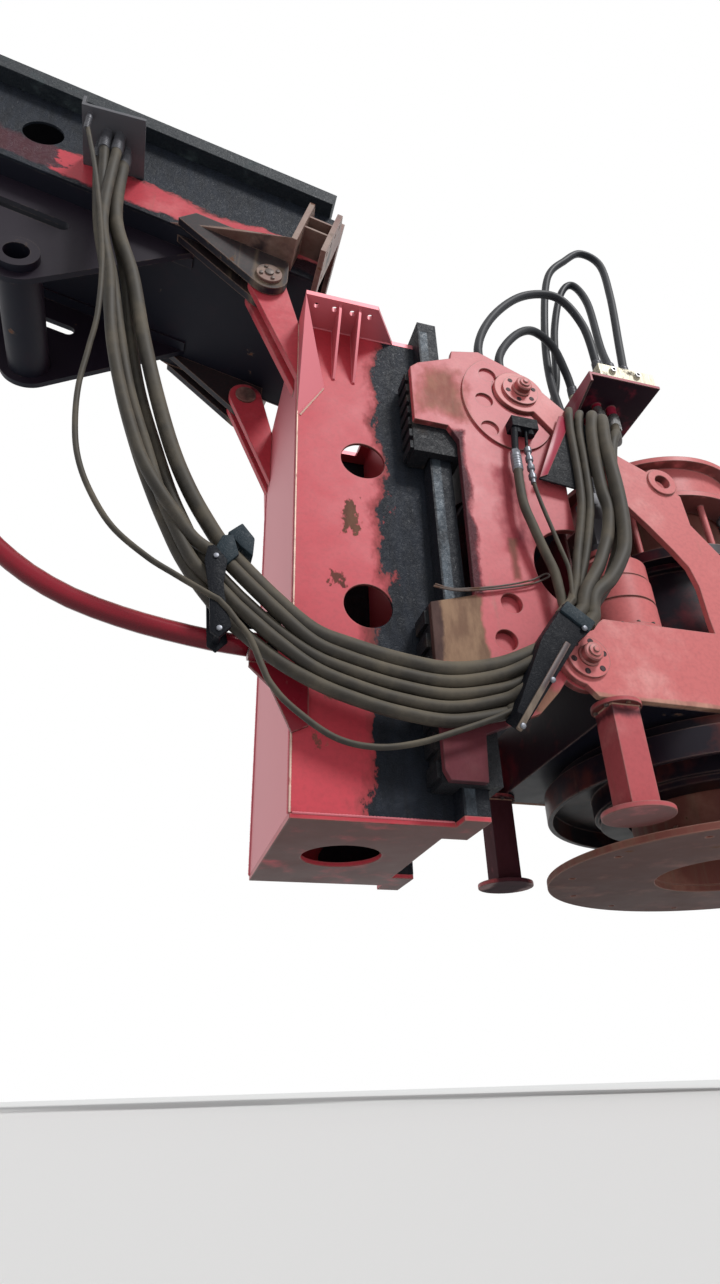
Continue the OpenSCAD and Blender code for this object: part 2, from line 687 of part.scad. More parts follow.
// one guide claw, gripping behind the rail, from z0 to z1
module claw(z0, z1) {
  h = z1 - z0;
  block(claw_back, half_w + 8, z0, mast_d - guide_gap - claw_back, sledge_in - half_w - 8, h);
  block(mast_d - guide_gap, rail_out + guide_gap, z0, rail_d + 2 * guide_gap,
    sledge_in - rail_out - guide_gap, h);
  block(rail_front + guide_gap, rail_in + 60, z0, 34, sledge_in - rail_in - 60, h);
  for (i = [0 : pad_n - 1]) block(claw_back - 16, half_w + 12, z0 + (i + 0.2) * h / pad_n,
    16, sledge_in - half_w - 16, 0.6 * h / pad_n);
}
module guide_claws() {
  color(dark) at_mast() both_sides() {
    claw(claw_top - claw_h, claw_top - 40);
    claw(claw_low, claw_low + claw_low_h);
  }
}
module feed_cylinder_rod() {
  color(steel) at_mast() {
    difference() {
      union() {
        translate([cyl_ax, 0, rod_pin_z + 70]) cylinder(r = rod_r, h = barrel_low + 190 - rod_pin_z);
        y_rod(46, cyl_ax, rod_pin_z, -40, 80);
        block(cyl_ax - 36, -36, rod_pin_z + 20, 72, 72, 60);
      }
      y_rod(cyl_pin_r + pin_clear, cyl_ax, rod_pin_z, -41, 82);
    }
    y_rod(cyl_pin_r, cyl_ax, rod_pin_z, -78, 156);
  }
}
// pin with its slotted keeper disc at the outer end
module drive_pin(x, z) {
  y_rod(drive_pin_r, x, z, sledge_in - 20, cheek_out - sledge_in + 34);
  difference() {
    y_rod(drive_pin_r + 42, x, z, cheek_out, 14);
    for (a = [15 : 60 : 315]) translate([x + 70 * cos(a), cheek_out + 15, z + 70 * sin(a)])
      rotate([90, 0, 0]) cylinder(r = 9, h = 16, $fn = 24);
  }
  y_rod(drive_pin_r + 14, x, z, sledge_in - 34, 14);
}
module drive_pins() {
  color(paint) at_mast() both_sides() {
    drive_pin(upper_pin_x, upper_pin_z);
    drive_pin(lower_pin_x, lower_pin_z);
  }
}

// plan of one drive side plate: lower beam, diagonal arm and its lifting boss
boss_x = 1717;
boss_z = 1662;
module cheek_profile() {
  difference() {
    union() {
      polygon([[lower_pin_x + 21, frame_z], [lower_pin_x - 72, lower_pin_z - 64],
        [lower_pin_x - 116, lower_pin_z + 20], [lower_pin_x + 110, frame_top - 6],
        [1768, frame_top - 2], [1763, 916], [1760, 1082], [1735, 1180], [1676, 1265], [1584, 1381],
        [1494, 1482], [upper_pin_x + 60, upper_pin_z - 118], [upper_pin_x - 20, upper_pin_z - 125],
        [upper_pin_x - 120, upper_pin_z], [upper_pin_x + 30, upper_pin_z + 126],
        [1516, 1790], [1645, 1725], [1808, 1600], [1816, 1430], [1930, 1278], [2080, 1160],
        [2330, 1040], [2600, frame_top + 40], [frame_front - 60, frame_top],
        [frame_front, frame_top - 60], [frame_front, frame_z + 60], [frame_front - 60, frame_z]]);
      translate([boss_x, boss_z]) circle(88);
      translate([upper_pin_x, upper_pin_z]) circle(130);
      translate([lower_pin_x, lower_pin_z]) circle(120);
    }
    translate([upper_pin_x, upper_pin_z]) circle(drive_pin_r + pin_clear);
    translate([lower_pin_x, lower_pin_z]) circle(drive_pin_r + pin_clear);
    translate([boss_x, boss_z]) circle(38);
  }
}
module drive_side_plates() {
  color(paint) at_mast() both_sides() {
    side_plate(sledge_out, cheek_t) cheek_profile();
    difference() {
      y_rod(75, boss_x, boss_z, cheek_out, 12);
      y_rod(38, boss_x, boss_z, cheek_out - 1, 14);
    }
  }
}
module gearbox_housing() {
  color(paint) at_mast() difference() {
    union() {
      translate([0, 0, frame_z]) linear_extrude(frame_h)
        polygon([[frame_back, -sledge_out], [frame_front - 60, -sledge_out],
          [frame_front - 20, -sledge_out + 60], [frame_front - 20, sledge_out - 60],
          [frame_front - 60, sledge_out], [frame_back, sledge_out]]);
      translate([drill_x, 0, frame_top]) cylinder(r1 = 500, r2 = 455, h = 120);
      translate([drill_x, 0, frame_top]) cylinder(r = 440, h = spring_z - frame_top - 60);
      translate([drill_x, 0, spring_z - 90]) cylinder(r = 475, h = 30);
    }
    translate([drill_x, 0, frame_z - 1]) cylinder(r = sleeve_r + 0.5, h = spring_z - frame_z);
    translate([drill_x, 0, frame_z - 1]) cylinder(r = bore_r, h = 61);
    translate([drill_x, 0, frame_z + 160]) cylinder(r = bore_r, h = spring_z - frame_z);
  }
}
module gearbox_drum() {
  color(worn) at_mast() difference() {
    union() {
      translate([drill_x, 0, frame_z - 60]) cylinder(r = drum_r - 60, h = 60);
      translate([drill_x, 0, frame_z - drum_h]) cylinder(r = drum_r, h = drum_h - 60);
      translate([drill_x, 0, frame_z - drum_h - 30]) cylinder(r = 520, h = 30);
    }
    translate([drill_x, 0, frame_z - drum_h - 31]) cylinder(r = bore_r, h = drum_h + 32);
    translate([drill_x, 0, frame_z - drum_h - 1]) difference() {
      cylinder(r = drum_r - 25, h = drum_h - 90);
      cylinder(r = 540, h = drum_h);
    }
  }
}
// stepped planetary reducer
module reducers() {
  color(paint) at_mast() both_sides() translate([reducer_x, reducer_y, frame_top]) {
    cylinder(r = reducer_r + 12, h = 40);
    translate([0, 0, 40]) cylinder(r = reducer_r, h = 130);
    translate([0, 0, 170]) cylinder(r = reducer_r - 8, h = 10);
    translate([0, 0, 180]) cylinder(r = reducer_r, h = 110);
    translate([0, 0, 290]) cylinder(r = reducer_r - 8, h = 10);
    translate([0, 0, 300]) cylinder(r = reducer_r - 4, h = 90);
    translate([0, 0, 390]) cylinder(r1 = reducer_r - 20, r2 = 110, h = 60);
    translate([0, 0, 450]) cylinder(r = 118, h = 30);
  }
}
module hydraulic_motors() {
  color(worn) at_mast() both_sides() translate([reducer_x, reducer_y, frame_top + 480]) {
    cylinder(r = 105, h = 36);
    translate([-75, -75, 36]) cube([150, 150, 150]);
    translate([0, 0, 186]) cylinder(r1 = 78, r2 = 60, h = 110);
    translate([-50, -60, 296]) cube([100, 120, 70]);
    for (s = [-1, 1]) translate([s * 26, 0, 366]) cylinder(r = 20, h = 34, $fn = 24);
  }
}
module cage_plate(z, t, r_in) {
  translate([drill_x, 0, z]) difference() {
    cylinder(r = cage_r, h = t);
    translate([0, 0, -1]) cylinder(r = r_in, h = t + 2);
  }
}
module spring_seat() {
  color(paint) at_mast() {
    cage_plate(spring_z - 60, 30, bore_r);
    cage_plate(spring_z - 30, 30, bore_r + 1);
    for (i = [0 : spring_n - 1]) rotate_about(drill_x, 360 * (i + 0.5) / spring_n)
      translate([spring_ring_r, 0, spring_z]) cylinder(r = spring_r - 2 * spring_wire_r - 5, h = 40,
        $fn = 24);
  }
}
module rotate_about(x, a) {
  translate([x, 0, 0]) rotate([0, 0, a]) children();
}
// coil spring as one sweep of its wire
module spring(h) {
  n = 8;
  m = spring_turns * n;
  r = spring_r - spring_wire_r;
  tube([for (i = [0 : m]) [r * cos(360 * i / n), r * sin(360 * i / n),
    spring_wire_r - 0.2 + (h - 2 * spring_wire_r + 0.4) * i / m]], spring_wire_r, 5, [0, 0, 1]);
}
module damper_springs() {
  color(dark) at_mast() for (i = [0 : spring_n - 1]) rotate_about(drill_x, 360 * (i + 0.5) / spring_n)
    translate([spring_ring_r, 0, spring_z]) spring(spring_h);
}
module spring_cage_ring() {
  z = spring_z + spring_h;
  color(paint) at_mast() {
    cage_plate(z, 30, sleeve_r + 16);
    translate([drill_x, 0, z + 30]) difference() {
      cylinder(r = cage_r - 60, h = 200);
      translate([0, 0, -1]) cylinder(r = cage_r - 74, h = 202);
    }
    cage_plate(z + 230, 30, cage_r - 120);
    for (i = [0 : spring_n - 1]) rotate_about(drill_x, 360 * i / spring_n)
      translate([spring_ring_r, 0, spring_z]) cylinder(r = 16, h = spring_h, $fn = 24);
  }
}
module support_legs() {
  color(paint) at_mast() both_sides() for (x = [-leg_rear, leg_front]) translate([drill_x + x, leg_y, 0]) {
    translate([0, 0, frame_z - 20]) cylinder(r = 96, h = 20);
    translate([-leg_w / 2, -leg_w / 2, leg_z + 20]) cube([leg_w, leg_w, frame_z - leg_z - 40]);
    translate([0, 0, leg_z]) cylinder(r = leg_pad_r, h = 20);
  }
}

shelf_x = 1570;
shelf_z = 2480;
shelf_d = 420;
// places of the riser fittings under the shelf and of the ports on the block
riser_top = [[1710, -330], [1800, -330], [1720, -225], [1740, -120]];
ports = [1690, 1770, 1860];
module manifold_bracket() {
  color(paint) at_mast() {
    difference() {
      block(shelf_x, -525, shelf_z, shelf_d, 760, 20);
      for (p = riser_top) translate([p[0], p[1], shelf_z - 1]) cylinder(r = 18, h = 22, $fn = 24);
    }
    block(shelf_x - 14, -525, shelf_z - 50, 14, 760, 70);
    for (y = [-60, 170]) side_plate(y, 20) polygon([[shelf_x + 160, shelf_z],
      [shelf_x - 14, shelf_z - 50], [1000, claw_top + 16], [web_x + web_t + 4, claw_top],
      [web_x + web_t + 184, claw_top], [shelf_x + 160, shelf_z - 90]]);
  }
  color(steel) at_mast() for (p = riser_top) translate([p[0], p[1], shelf_z - 70])
    cylinder(r = hose_r + 5, h = 70);
}
module manifold_block() {
  color(tan_steel) at_mast() {
    block(1630, -520, shelf_z + 20, 340, 150, 90);
    for (x = ports) translate([x, -440, shelf_z + 110]) cylinder(r = 26, h = 36);
    translate([1600, -300, shelf_z + 20]) cylinder(r = 26, h = 50);
    for (x = [1710, 1860]) y_rod(20, x, shelf_z + 66, -528, 8);
  }
}
// exit of riser k on the clamp block: columns along its top edge, rows towards the viewer
exits = [[0, 0], [0, 1], [1, 0], [2, 0], [2, 1], [1, 1]];
exit_u = [0.6, 0, 0.8];
function exit2(k) = [1088 - 46 * exits[k][0], -660 - 50 * exits[k][1], 782 + 34.5 * exits[k][0]];
module lower_hose_clamp() {
  a = atan2(clamp2_u[2], clamp2_u[0]);
  color(dark) at_mast() {
    clamp_bosses(clamp2_s, clamp2_u, hose_r + 4);
    translate(exit2(0) + [16.8, 24, -12.6]) rotate([90, atan2(exit_u[0], exit_u[2]), 0])
      translate([-140, -104, 0]) cube([140, 104, 114]);
    side_plate(-cheek_out - 18, 18) polygon([[960, 840], [1050, 790], [1000, 600], [930, 400],
      [850, 395], [880, 640]]);
    translate(thin2) rotate([0, 90 - a, 0]) translate([0, 0, -20]) cylinder(r = thin_r + 6, h = 40);
    translate([thin2[0] - 8, thin2[1], thin2[2] - 8]) cube([16, 74, 16]);
  }
}
riser_s = [[1216, -660, 906, -42, 30, 50], [1359, -660, 1127, -50, 22, 50],
  [1468, -660, 1453, -60, 10, 50], [1515, -662, 1739, -62, 0, 50], [1560, -612, 2010, -60, 0, 50]];
function riser_end(k) = [riser_top[k][0] - 60, riser_top[k][1] - 70, 2220];
small_s = [[1045, -690, 960], [1015, -680, 1190], [985, -665, 1420], [975, -655, 1620]];
small_dx = [0, 52];
module riser_hoses() {
  up = [0, 0, 1];
  color(rubber) at_mast() {
    for (k = [0 : 3]) hose(exit2(k), exit_u, concat([for (s = riser_s) [s[0] + s[3] * exits[k][0],
      s[1] - s[5] * exits[k][1], s[2] + s[4] * exits[k][0]]], [riser_end(k)]),
      [riser_top[k][0], riser_top[k][1], shelf_z - 70], up, hose_r, 3, 8);
    for (k = [0, 1]) hose(exit2(4 + k), exit_u, [for (s = small_s) s + [small_dx[k], 0, 0]],
      [980 + 65 * k, -640, 1780], up, 15, 2, 6);
  }
}
module small_manifold() {
  color(dark) at_mast() {
    block(950, -sledge_out - 75, 1810, 130, 63, 60);
    for (k = [0, 1]) translate([980 + 65 * k, -640, 1780]) cylinder(r = 19, h = 40, $fn = 24);
  }
}
// arches over the sledge head, and the tall ones from the near motor to the block
arch_a = [[925, -500, 2480], [1044, -480, 2810], [1281, -460, 3110], [1526, -450, 3200],
  [1662, -445, 3000]];
arch_b = [[1050, -480, 2480], [1180, -450, 2740], [1330, -420, 2880], [1480, -370, 2860],
  [1570, -320, 2720]];
arch_c = [[1480, -330, 2300], [1495, -270, 2750], [1540, -270, 3200], [1625, -290, 3650],
  [1770, -310, 3850], [1900, -320, 3960], [2010, -340, 3850], [1990, -370, 3480],
  [1910, -410, 2950]];
arch_d = [[1430, -300, 2300], [1500, -205, 2750], [1590, -205, 3250], [1720, -235, 3640],
  [1830, -255, 3710], [1875, -290, 3480], [1815, -365, 2950]];
module motor_hoses() {
  up = [0, 0, 1];
  down = [0, 0, -1];
  top = shelf_z + 146;
  deck = claw_top;
  port_z = frame_top + 880;
  color(dark) at_mast() {
    hose([1000, -500, deck], up, arch_a, [ports[0], -440, top], down, 20, 3, 8);
    hose([1085, -480, deck], up, arch_b, [1600, -300, shelf_z + 70], down, 20, 3, 8);
    hose([reducer_x + 26, -reducer_y, port_z], up, arch_c, [ports[2], -440, top], down, 20, 3, 8);
    hose([reducer_x - 26, -reducer_y, port_z], up, arch_d, [ports[1], -440, top], down, 20, 3, 8);
  }
}
module drive_sleeve() {
  color(steel) at_mast() translate([drill_x, 0, disc_t]) linear_extrude(sleeve_top - disc_t) {
    difference() {
      circle(sleeve_r);
      circle(sleeve_r - sleeve_t);
    }
    for (i = [0 : key_n - 1]) rotate([0, 0, 360 * i / key_n + 30])
      translate([sleeve_r - sleeve_t - key_d, -key_w / 2]) square([key_d + 12, key_w]);
  }
}
module turning_disc() {
  color(worn) at_mast() translate([drill_x, 0, 0]) {
    difference() {
      cylinder(r = disc_r, h = disc_t, $fn = 128);
      translate([0, 0, -1]) cylinder(r = sleeve_r - sleeve_t, h = disc_t + 2);
      for (i = [0 : 11]) rotate([0, 0, 30 * i + 15]) translate([disc_r - 90, 0, -1])
        cylinder(r = bolt_r, h = disc_t + 2, $fn = 24);
    }
    for (i = [0 : 7]) rotate([0, 0, 45 * i + 22.5]) translate([sleeve_r + 1, 10, disc_t])
      rotate([90, 0, 0]) linear_extrude(20) polygon([[0, 0], [150, 0], [150, 20], [0, 130]]);
  }
}

mid_mast_sides();
mid_mast_front_rear();
mid_mast_flanges();
mid_mast_ears();
mid_guide_rails();
mast_carrier();
hinge_pins();
hose_bulkhead();
drop_hoses();
lower_mast_sides();
lower_mast_front_rear();
lower_mast_foot();
lower_mast_flange();
lower_mast_lugs();
lower_guide_rails();
feed_cylinder_barrel();
feed_cylinder_bracket();
feed_cylinder_pins();
upper_hose_clamp();
stay_tube();
stay_tube_bracket();
loop_hoses();
sledge_side_plates();
sledge_doublers();
sledge_cross_frame();
guide_claws();
feed_cylinder_rod();
drive_pins();
drive_side_plates();
gearbox_housing();
gearbox_drum();
reducers();
hydraulic_motors();
spring_seat();
damper_springs();
spring_cage_ring();
support_legs();
manifold_bracket();
manifold_block();
small_manifold();
lower_hose_clamp();
riser_hoses();
motor_hoses();
drive_sleeve();
turning_disc();
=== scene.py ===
"""Looks of the folding mast end, feed sledge and rotary drive of a piling rig.

Sizes are millimetres from the rear foot corner of the lower mast: X runs forward to the drive,
Y away from the camera and Z up. The function at turns them into metres in the frame of the
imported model.
"""
from __future__ import annotations

import logging
import math
from dataclasses import KW_ONLY, dataclass, field
from enum import Enum
from random import Random

import bmesh
import bpy
from mathutils import Matrix, Vector


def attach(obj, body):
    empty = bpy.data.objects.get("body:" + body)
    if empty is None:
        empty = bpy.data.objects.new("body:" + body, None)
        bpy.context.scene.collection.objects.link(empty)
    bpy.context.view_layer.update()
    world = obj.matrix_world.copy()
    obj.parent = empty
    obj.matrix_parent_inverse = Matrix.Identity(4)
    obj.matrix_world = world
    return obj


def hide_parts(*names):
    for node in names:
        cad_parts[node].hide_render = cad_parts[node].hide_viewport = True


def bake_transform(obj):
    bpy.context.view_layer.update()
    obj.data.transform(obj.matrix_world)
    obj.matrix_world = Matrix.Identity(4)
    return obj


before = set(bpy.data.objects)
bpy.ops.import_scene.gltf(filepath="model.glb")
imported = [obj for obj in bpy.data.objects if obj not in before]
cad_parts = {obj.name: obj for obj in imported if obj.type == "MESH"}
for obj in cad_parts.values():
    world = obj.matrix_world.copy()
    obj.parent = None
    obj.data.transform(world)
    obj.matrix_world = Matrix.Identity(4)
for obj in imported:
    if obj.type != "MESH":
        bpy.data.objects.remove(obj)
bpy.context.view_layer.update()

log = logging.getLogger("rig")
PATH = list[Vector]

ORIGIN = Vector((-1332.886, 0.0, 2653.489))
HINGE = Vector((-165.0, 0.0, 2735.0))
UP, DOWN, NEAR = Vector((0, 0, 1)), Vector((0, 0, -1)), Vector((0, -1, 0))
SIDES = (-1, 1)
FOLD = math.radians(75.0)

RGB = XYZ = tuple[float, float, float]
RUST: RGB = (0.070, 0.030, 0.020)
EARTH: RGB = (0.20, 0.145, 0.10)
# Near black for soot, and for painted shade on undersides and under the leg flanges.
SOOT_AND_SHADE: RGB = (0.007, 0.008, 0.015)
OLD_GREASE: RGB = (0.012, 0.016, 0.025)
SMEAR: RGB = (0.085, 0.045, 0.036)
KHAKI: RGB = (0.27, 0.19, 0.115)
PLUM: RGB = (0.032, 0.011, 0.020)
NEAR_SIDE, FAR_RAIL, NEAR_RAIL = (-700, -300), (515, 700), (-700, -515)


def at(x: float, y: float, z: float) -> Vector:
    """Return a point of the lower mast in metres of the model's frame."""
    return (Vector((x, y, z)) - ORIGIN) * 0.001


def turned_to(axis: Vector, place: Vector) -> Matrix:
    """Return the placement that lays local Z along axis.

    Args:
        axis: Direction for local Z.
        place: Place of the local origin, in metres.

    Returns:
        The placement matrix.
    """
    return Matrix.Translation(place) @ axis.to_track_quat("Z", "Y").to_matrix().to_4x4()


# ---- node graphs ----


class Graph:
    """Builds the nodes of one tree with short calls."""

    def __init__(self, tree: bpy.types.NodeTree) -> None:
        """Keep the tree; its textures take coords, which the owner sets."""
        self.tree = tree
        self.coords: bpy.types.NodeSocket | None = None

    def add(self, kind: str, inputs: dict | None = None, **settings: object) -> bpy.types.Node:
        """Add a node.

        Args:
            kind: Node type without its ShaderNode prefix.
            inputs: Values or sockets by input name or index.
            settings: Properties of the node.

        Returns:
            The new node.
        """
        node = self.tree.nodes.new("ShaderNode" + kind)
        for key, value in settings.items():
            setattr(node, key, value)
        for key, value in (inputs or {}).items():
            self.fill(node.inputs[key], value)
        return node

    def fill(self, socket: bpy.types.NodeSocket, value: object) -> None:
        """Link a socket to another one, or set its number, vector or colour."""
        if isinstance(value, bpy.types.NodeSocket):
            self.tree.links.new(value, socket)
        elif socket.type == "RGBA":
            socket.default_value = (*value, 1.0)
        else:
            socket.default_value = value

    def math(self, operation: str, *values: object) -> bpy.types.NodeSocket:
        """Return the result of a Math node, clamped to 0 and 1 for sums."""
        node = self.add("Math", dict(enumerate(values)), operation=operation)
        node.use_clamp = operation in ("ADD", "SUBTRACT", "MULTIPLY_ADD")
        return node.outputs[0]

    def plus(self, first: object, second: object) -> bpy.types.NodeSocket:
        """Return a sum, kept within 0 to 1."""
        return self.math("ADD", first, second)

    def minus(self, first: object, second: object) -> bpy.types.NodeSocket:
        """Return a difference, kept within 0 to 1."""
        return self.math("SUBTRACT", first, second)

    def times(self, first: object, second: object) -> bpy.types.NodeSocket:
        """Return a product."""
        return self.math("MULTIPLY", first, second)

    def free_sum(self, first: object, second: object) -> bpy.types.NodeSocket:
        """Return a sum that may leave 0 to 1."""
        return self.add("Math", {0: first, 1: second}, operation="ADD").outputs[0]

    def mast_place(self, folded: bool) -> bpy.types.NodeSocket:
        """Return the place in metres from the lower mast's rear foot corner.

        Args:
            folded: Whether the place is that of the middle mast as if it stood straight.

        Returns:
            The vector socket.
        """
        if not folded:
            return self.vector("ADD", self.coords, ORIGIN * 0.001)
        straight = self.add("Mapping", {"Vector": self.coords, "Location": at(*HINGE),
                                        "Rotation": (0.0, -FOLD, 0.0)}, vector_type="TEXTURE")
        return self.vector("ADD", straight.outputs[0], HINGE * 0.001)

    def vector(self, operation: str, *values: object) -> bpy.types.NodeSocket:
        """Return the result of a Vector Math node."""
        node = self.add("VectorMath", dict(enumerate(values)), operation=operation)
        return node.outputs["Value" if operation == "DOT_PRODUCT" else "Vector"]

    def upness(self) -> bpy.types.NodeSocket:
        """Return 1 on faces that look up, -1 on those that look down."""
        return self.add("SeparateXYZ", {0: self.add("TexCoord").outputs["Normal"]}).outputs["Z"]

    def span(self, value: object, low: float, high: float, start: float = 0.0,
             end: float = 1.0) -> bpy.types.NodeSocket:
        """Return value taken smoothly from the span low to high onto start to end."""
        node = self.add("MapRange", {"Value": value, "From Min": low, "From Max": high,
                                     "To Min": start, "To Max": end},
                        interpolation_type="SMOOTHSTEP")
        return node.outputs["Result"]

    def mix(self, share: object, first: object, second: object,
            blend: str = "MIX") -> bpy.types.NodeSocket:
        """Return two colours mixed by share."""
        node = self.add("Mix", {0: share, 6: first, 7: second}, data_type="RGBA",
                        blend_type=blend)
        return node.outputs[2]

    def noise(self, scale: object, detail: float = 3.0, rough: float = 0.55,
              vector: object = None) -> bpy.types.NodeSocket:
        """Return the value of a noise texture on vector, or else on the coordinates."""
        return self.add("TexNoise", {"Vector": vector or self.coords, "Scale": scale,
                                     "Detail": detail, "Roughness": rough}).outputs["Fac"]

    def scaled(self, scale: XYZ) -> bpy.types.NodeSocket:
        """Return the coordinates, scaled."""
        return self.add("Mapping", {"Vector": self.coords, "Scale": scale}).outputs[0]


class Effects:
    """Shared node groups: edge wear, chips, streaks, facing, wrinkled crust and patches."""

    def __init__(self) -> None:
        """Build every group once."""
        self.wear = self._edge_wear()
        self.chips = self._chips()
        self.streaks = self._streaks()
        self.facing = self._facing()
        self.crust = self._crust()
        self.patch = self._ragged_patch()

    @staticmethod
    def _start(name: str, **inputs: float | None) -> tuple:
        """Start a group whose first input is the vector for its textures.

        Args:
            name: Name of the group.
            inputs: Default of each further number input, or None for a vector.

        Returns:
            Its graph and the sockets of its inputs.
        """
        tree = bpy.data.node_groups.new(name, "ShaderNodeTree")
        for key, value in {"Vector": None, **inputs}.items():
            kind = "NodeSocketVector" if value is None else "NodeSocketFloat"
            socket = tree.interface.new_socket(name=key, in_out="INPUT", socket_type=kind)
            if value is not None:
                socket.default_value = value
        g, given = Graph(tree), tree.nodes.new("NodeGroupInput").outputs
        g.coords = given["Vector"]
        return g, given

    @staticmethod
    def _end(g: Graph, **results: bpy.types.NodeSocket) -> bpy.types.NodeTree:
        """Give a group its outputs and return its tree."""
        for key in results:
            g.tree.interface.new_socket(name=key, in_out="OUTPUT", socket_type="NodeSocketFloat")
        out = g.tree.nodes.new("NodeGroupOutput")
        for key, value in results.items():
            g.fill(out.inputs[key], value)
        return g.tree

    def _edge_wear(self) -> bpy.types.NodeTree:
        """Mask that is 1 along rubbed edges and breaks up with noise."""
        g, given = self._start("edge_wear", Width=0.01, Amount=0.5)
        bevel = g.add("Bevel", {"Radius": given["Width"]}, samples=4)
        normal = g.add("NewGeometry").outputs["Normal"]
        dot = g.vector("DOT_PRODUCT", bevel.outputs[0], normal)
        edge = g.span(g.minus(1.0, dot), 0.01, 0.16)
        fine = g.noise(34.0, 5.0, 0.65)
        broad = g.noise(5.0, 2.0)
        both = g.math("MULTIPLY_ADD", broad, 0.5, g.times(fine, 0.6))
        gate = g.minus(g.plus(both, given["Amount"]), 0.72)
        return self._end(g, Mask=g.times(edge, g.span(gate, 0.0, 0.12)))

    def _chips(self) -> bpy.types.NodeTree:
        """Mask of flaked spots with a soft halo round them."""
        g, given = self._start("chips", Size=9.0, Amount=0.3)
        spots = g.noise(given["Size"], 6.0, 0.62)
        gate = g.noise(1.7, 2.0)
        level = g.plus(g.times(spots, 0.75), g.times(gate, 0.25))
        least = g.minus(0.74, g.times(given["Amount"], 0.2))
        near = g.minus(level, g.minus(least, 0.03))
        return self._end(g, Mask=g.span(g.minus(level, least), 0.0, 0.012),
                         Halo=g.span(near, 0.0, 0.05))

    def _streaks(self) -> bpy.types.NodeTree:
        """Mask of dirt that has run down the walls."""
        g, given = self._start("streaks", Amount=0.5)
        runs = g.noise(22.0, 4.0, 0.6, g.scaled((1.0, 1.0, 0.09)))
        gate = g.noise(1.3, 3.0)
        both = g.plus(g.times(runs, 0.6), g.times(gate, 0.4))
        low = g.minus(0.68, g.times(given["Amount"], 0.25))
        return self._end(g, Mask=g.span(g.minus(both, low), 0.0, 0.16))

    def _facing(self) -> bpy.types.NodeTree:
        """Masks of faces that look up, for dust, and down, for painted shade, broken up by noise.
        """
        g, _ = self._start("facing")
        z = g.upness()
        patchy = g.noise(7.0, 4.0, 0.6)
        return self._end(g, Up=g.times(g.span(z, 0.25, 0.9), g.span(patchy, 0.25, 0.62)),
                         Down=g.times(g.span(g.times(z, -1.0), 0.3, 0.9),
                                      g.span(patchy, 0.12, 0.5)))

    def _crust(self) -> bpy.types.NodeTree:
        """Height of wrinkled old grease."""
        g, _ = self._start("crust")
        bend = g.add("TexNoise", {"Vector": g.coords, "Scale": 9.0, "Detail": 3.0})
        bent = g.vector("MULTIPLY_ADD", g.coords, bend.outputs["Color"], (0.12,) * 3)
        folds = g.add("TexVoronoi", {"Vector": bent, "Scale": 34.0, "Randomness": 1.0},
                      feature="SMOOTH_F1").outputs["Distance"]
        fine = g.noise(90.0, 5.0, 0.6, bent)
        return self._end(g, Height=g.plus(g.times(folds, 0.7), g.times(fine, 0.3)))

    def _ragged_patch(self) -> bpy.types.NodeTree:
        """Mask of a box with ragged, run-down edges."""
        g, given = self._start("ragged_patch", Low=None, High=None, Ragged=0.1,
                               Soft=0.03, Scale=6.0)
        inside = g.add("SeparateXYZ", {0: g.vector(
            "MINIMUM", g.vector("SUBTRACT", g.coords, given["Low"]),
            g.vector("SUBTRACT", given["High"], g.coords))}).outputs
        depth = g.math("MINIMUM", g.math("MINIMUM", inside[0], inside[1]), inside[2])
        shape = g.noise(given["Scale"], 7.0, 0.68, g.scaled((1.0, 1.0, 0.6)))
        wave = g.times(g.free_sum(shape, -0.5), given["Ragged"])
        over = g.free_sum(depth, g.times(wave, 2.0))
        return self._end(g, Mask=g.span(over, 0.0, given["Soft"]))


@dataclass(frozen=True)
class Patch:
    """Ragged patch of dirt, grease, worn paint or painted shade inside a box, its spans in
    millimetres.
    """

    along: tuple[float, float]
    height: tuple[float, float]
    colour: RGB
    share: float
    ragged: float
    soft: float
    rough: float = 0.75
    greasy: bool = False
    grain: float = 6.0
    across: tuple[float, float] = (-700, 700)

    def corner(self, end: int) -> Vector:
        """Return the box's low corner (0) or high corner (1) in metres."""
        return Vector((self.along[end], self.across[end], self.height[end])) * 0.001


class Coat(Graph):
    """Graph of one material: its shader, its object coordinates and the shared groups."""

    def __init__(self, tree: bpy.types.NodeTree, effects: Effects, specular: float) -> None:
        """Start the material's nodes anew.

        Args:
            tree: Node tree of the material.
            effects: The shared groups.
            specular: Specular level of the shader.
        """
        super().__init__(tree)
        tree.nodes.clear()
        self.effects = effects
        self.shader = self.add("BsdfPrincipled", {"Specular IOR Level": specular})
        self.add("OutputMaterial", {0: self.shader.outputs[0]})
        self.coords = self.add("TexCoord").outputs["Object"]

    def use(self, tree: bpy.types.NodeTree, **values: object) -> bpy.types.NodeOutputs:
        """Place a shared group on the coordinates and return its outputs."""
        return self.add("Group", {"Vector": self.coords, **values}, node_tree=tree).outputs

    def feed(self, colour: object, rough: object, height: object, strength: float,
             distance: float) -> None:
        """Link colour, roughness and the bump's height to the shader.

        Args:
            colour: Colour socket.
            rough: Roughness socket.
            height: Height socket, from 0 to 1.
            strength: Strength of the bump.
            distance: Depth of the bump in metres.
        """
        bump = self.add("Bump", {"Height": height, "Strength": strength, "Distance": distance})
        for key, socket in (("Base Color", colour), ("Roughness", rough),
                            ("Normal", bump.outputs[0])):
            self.fill(self.shader.inputs[key], socket)


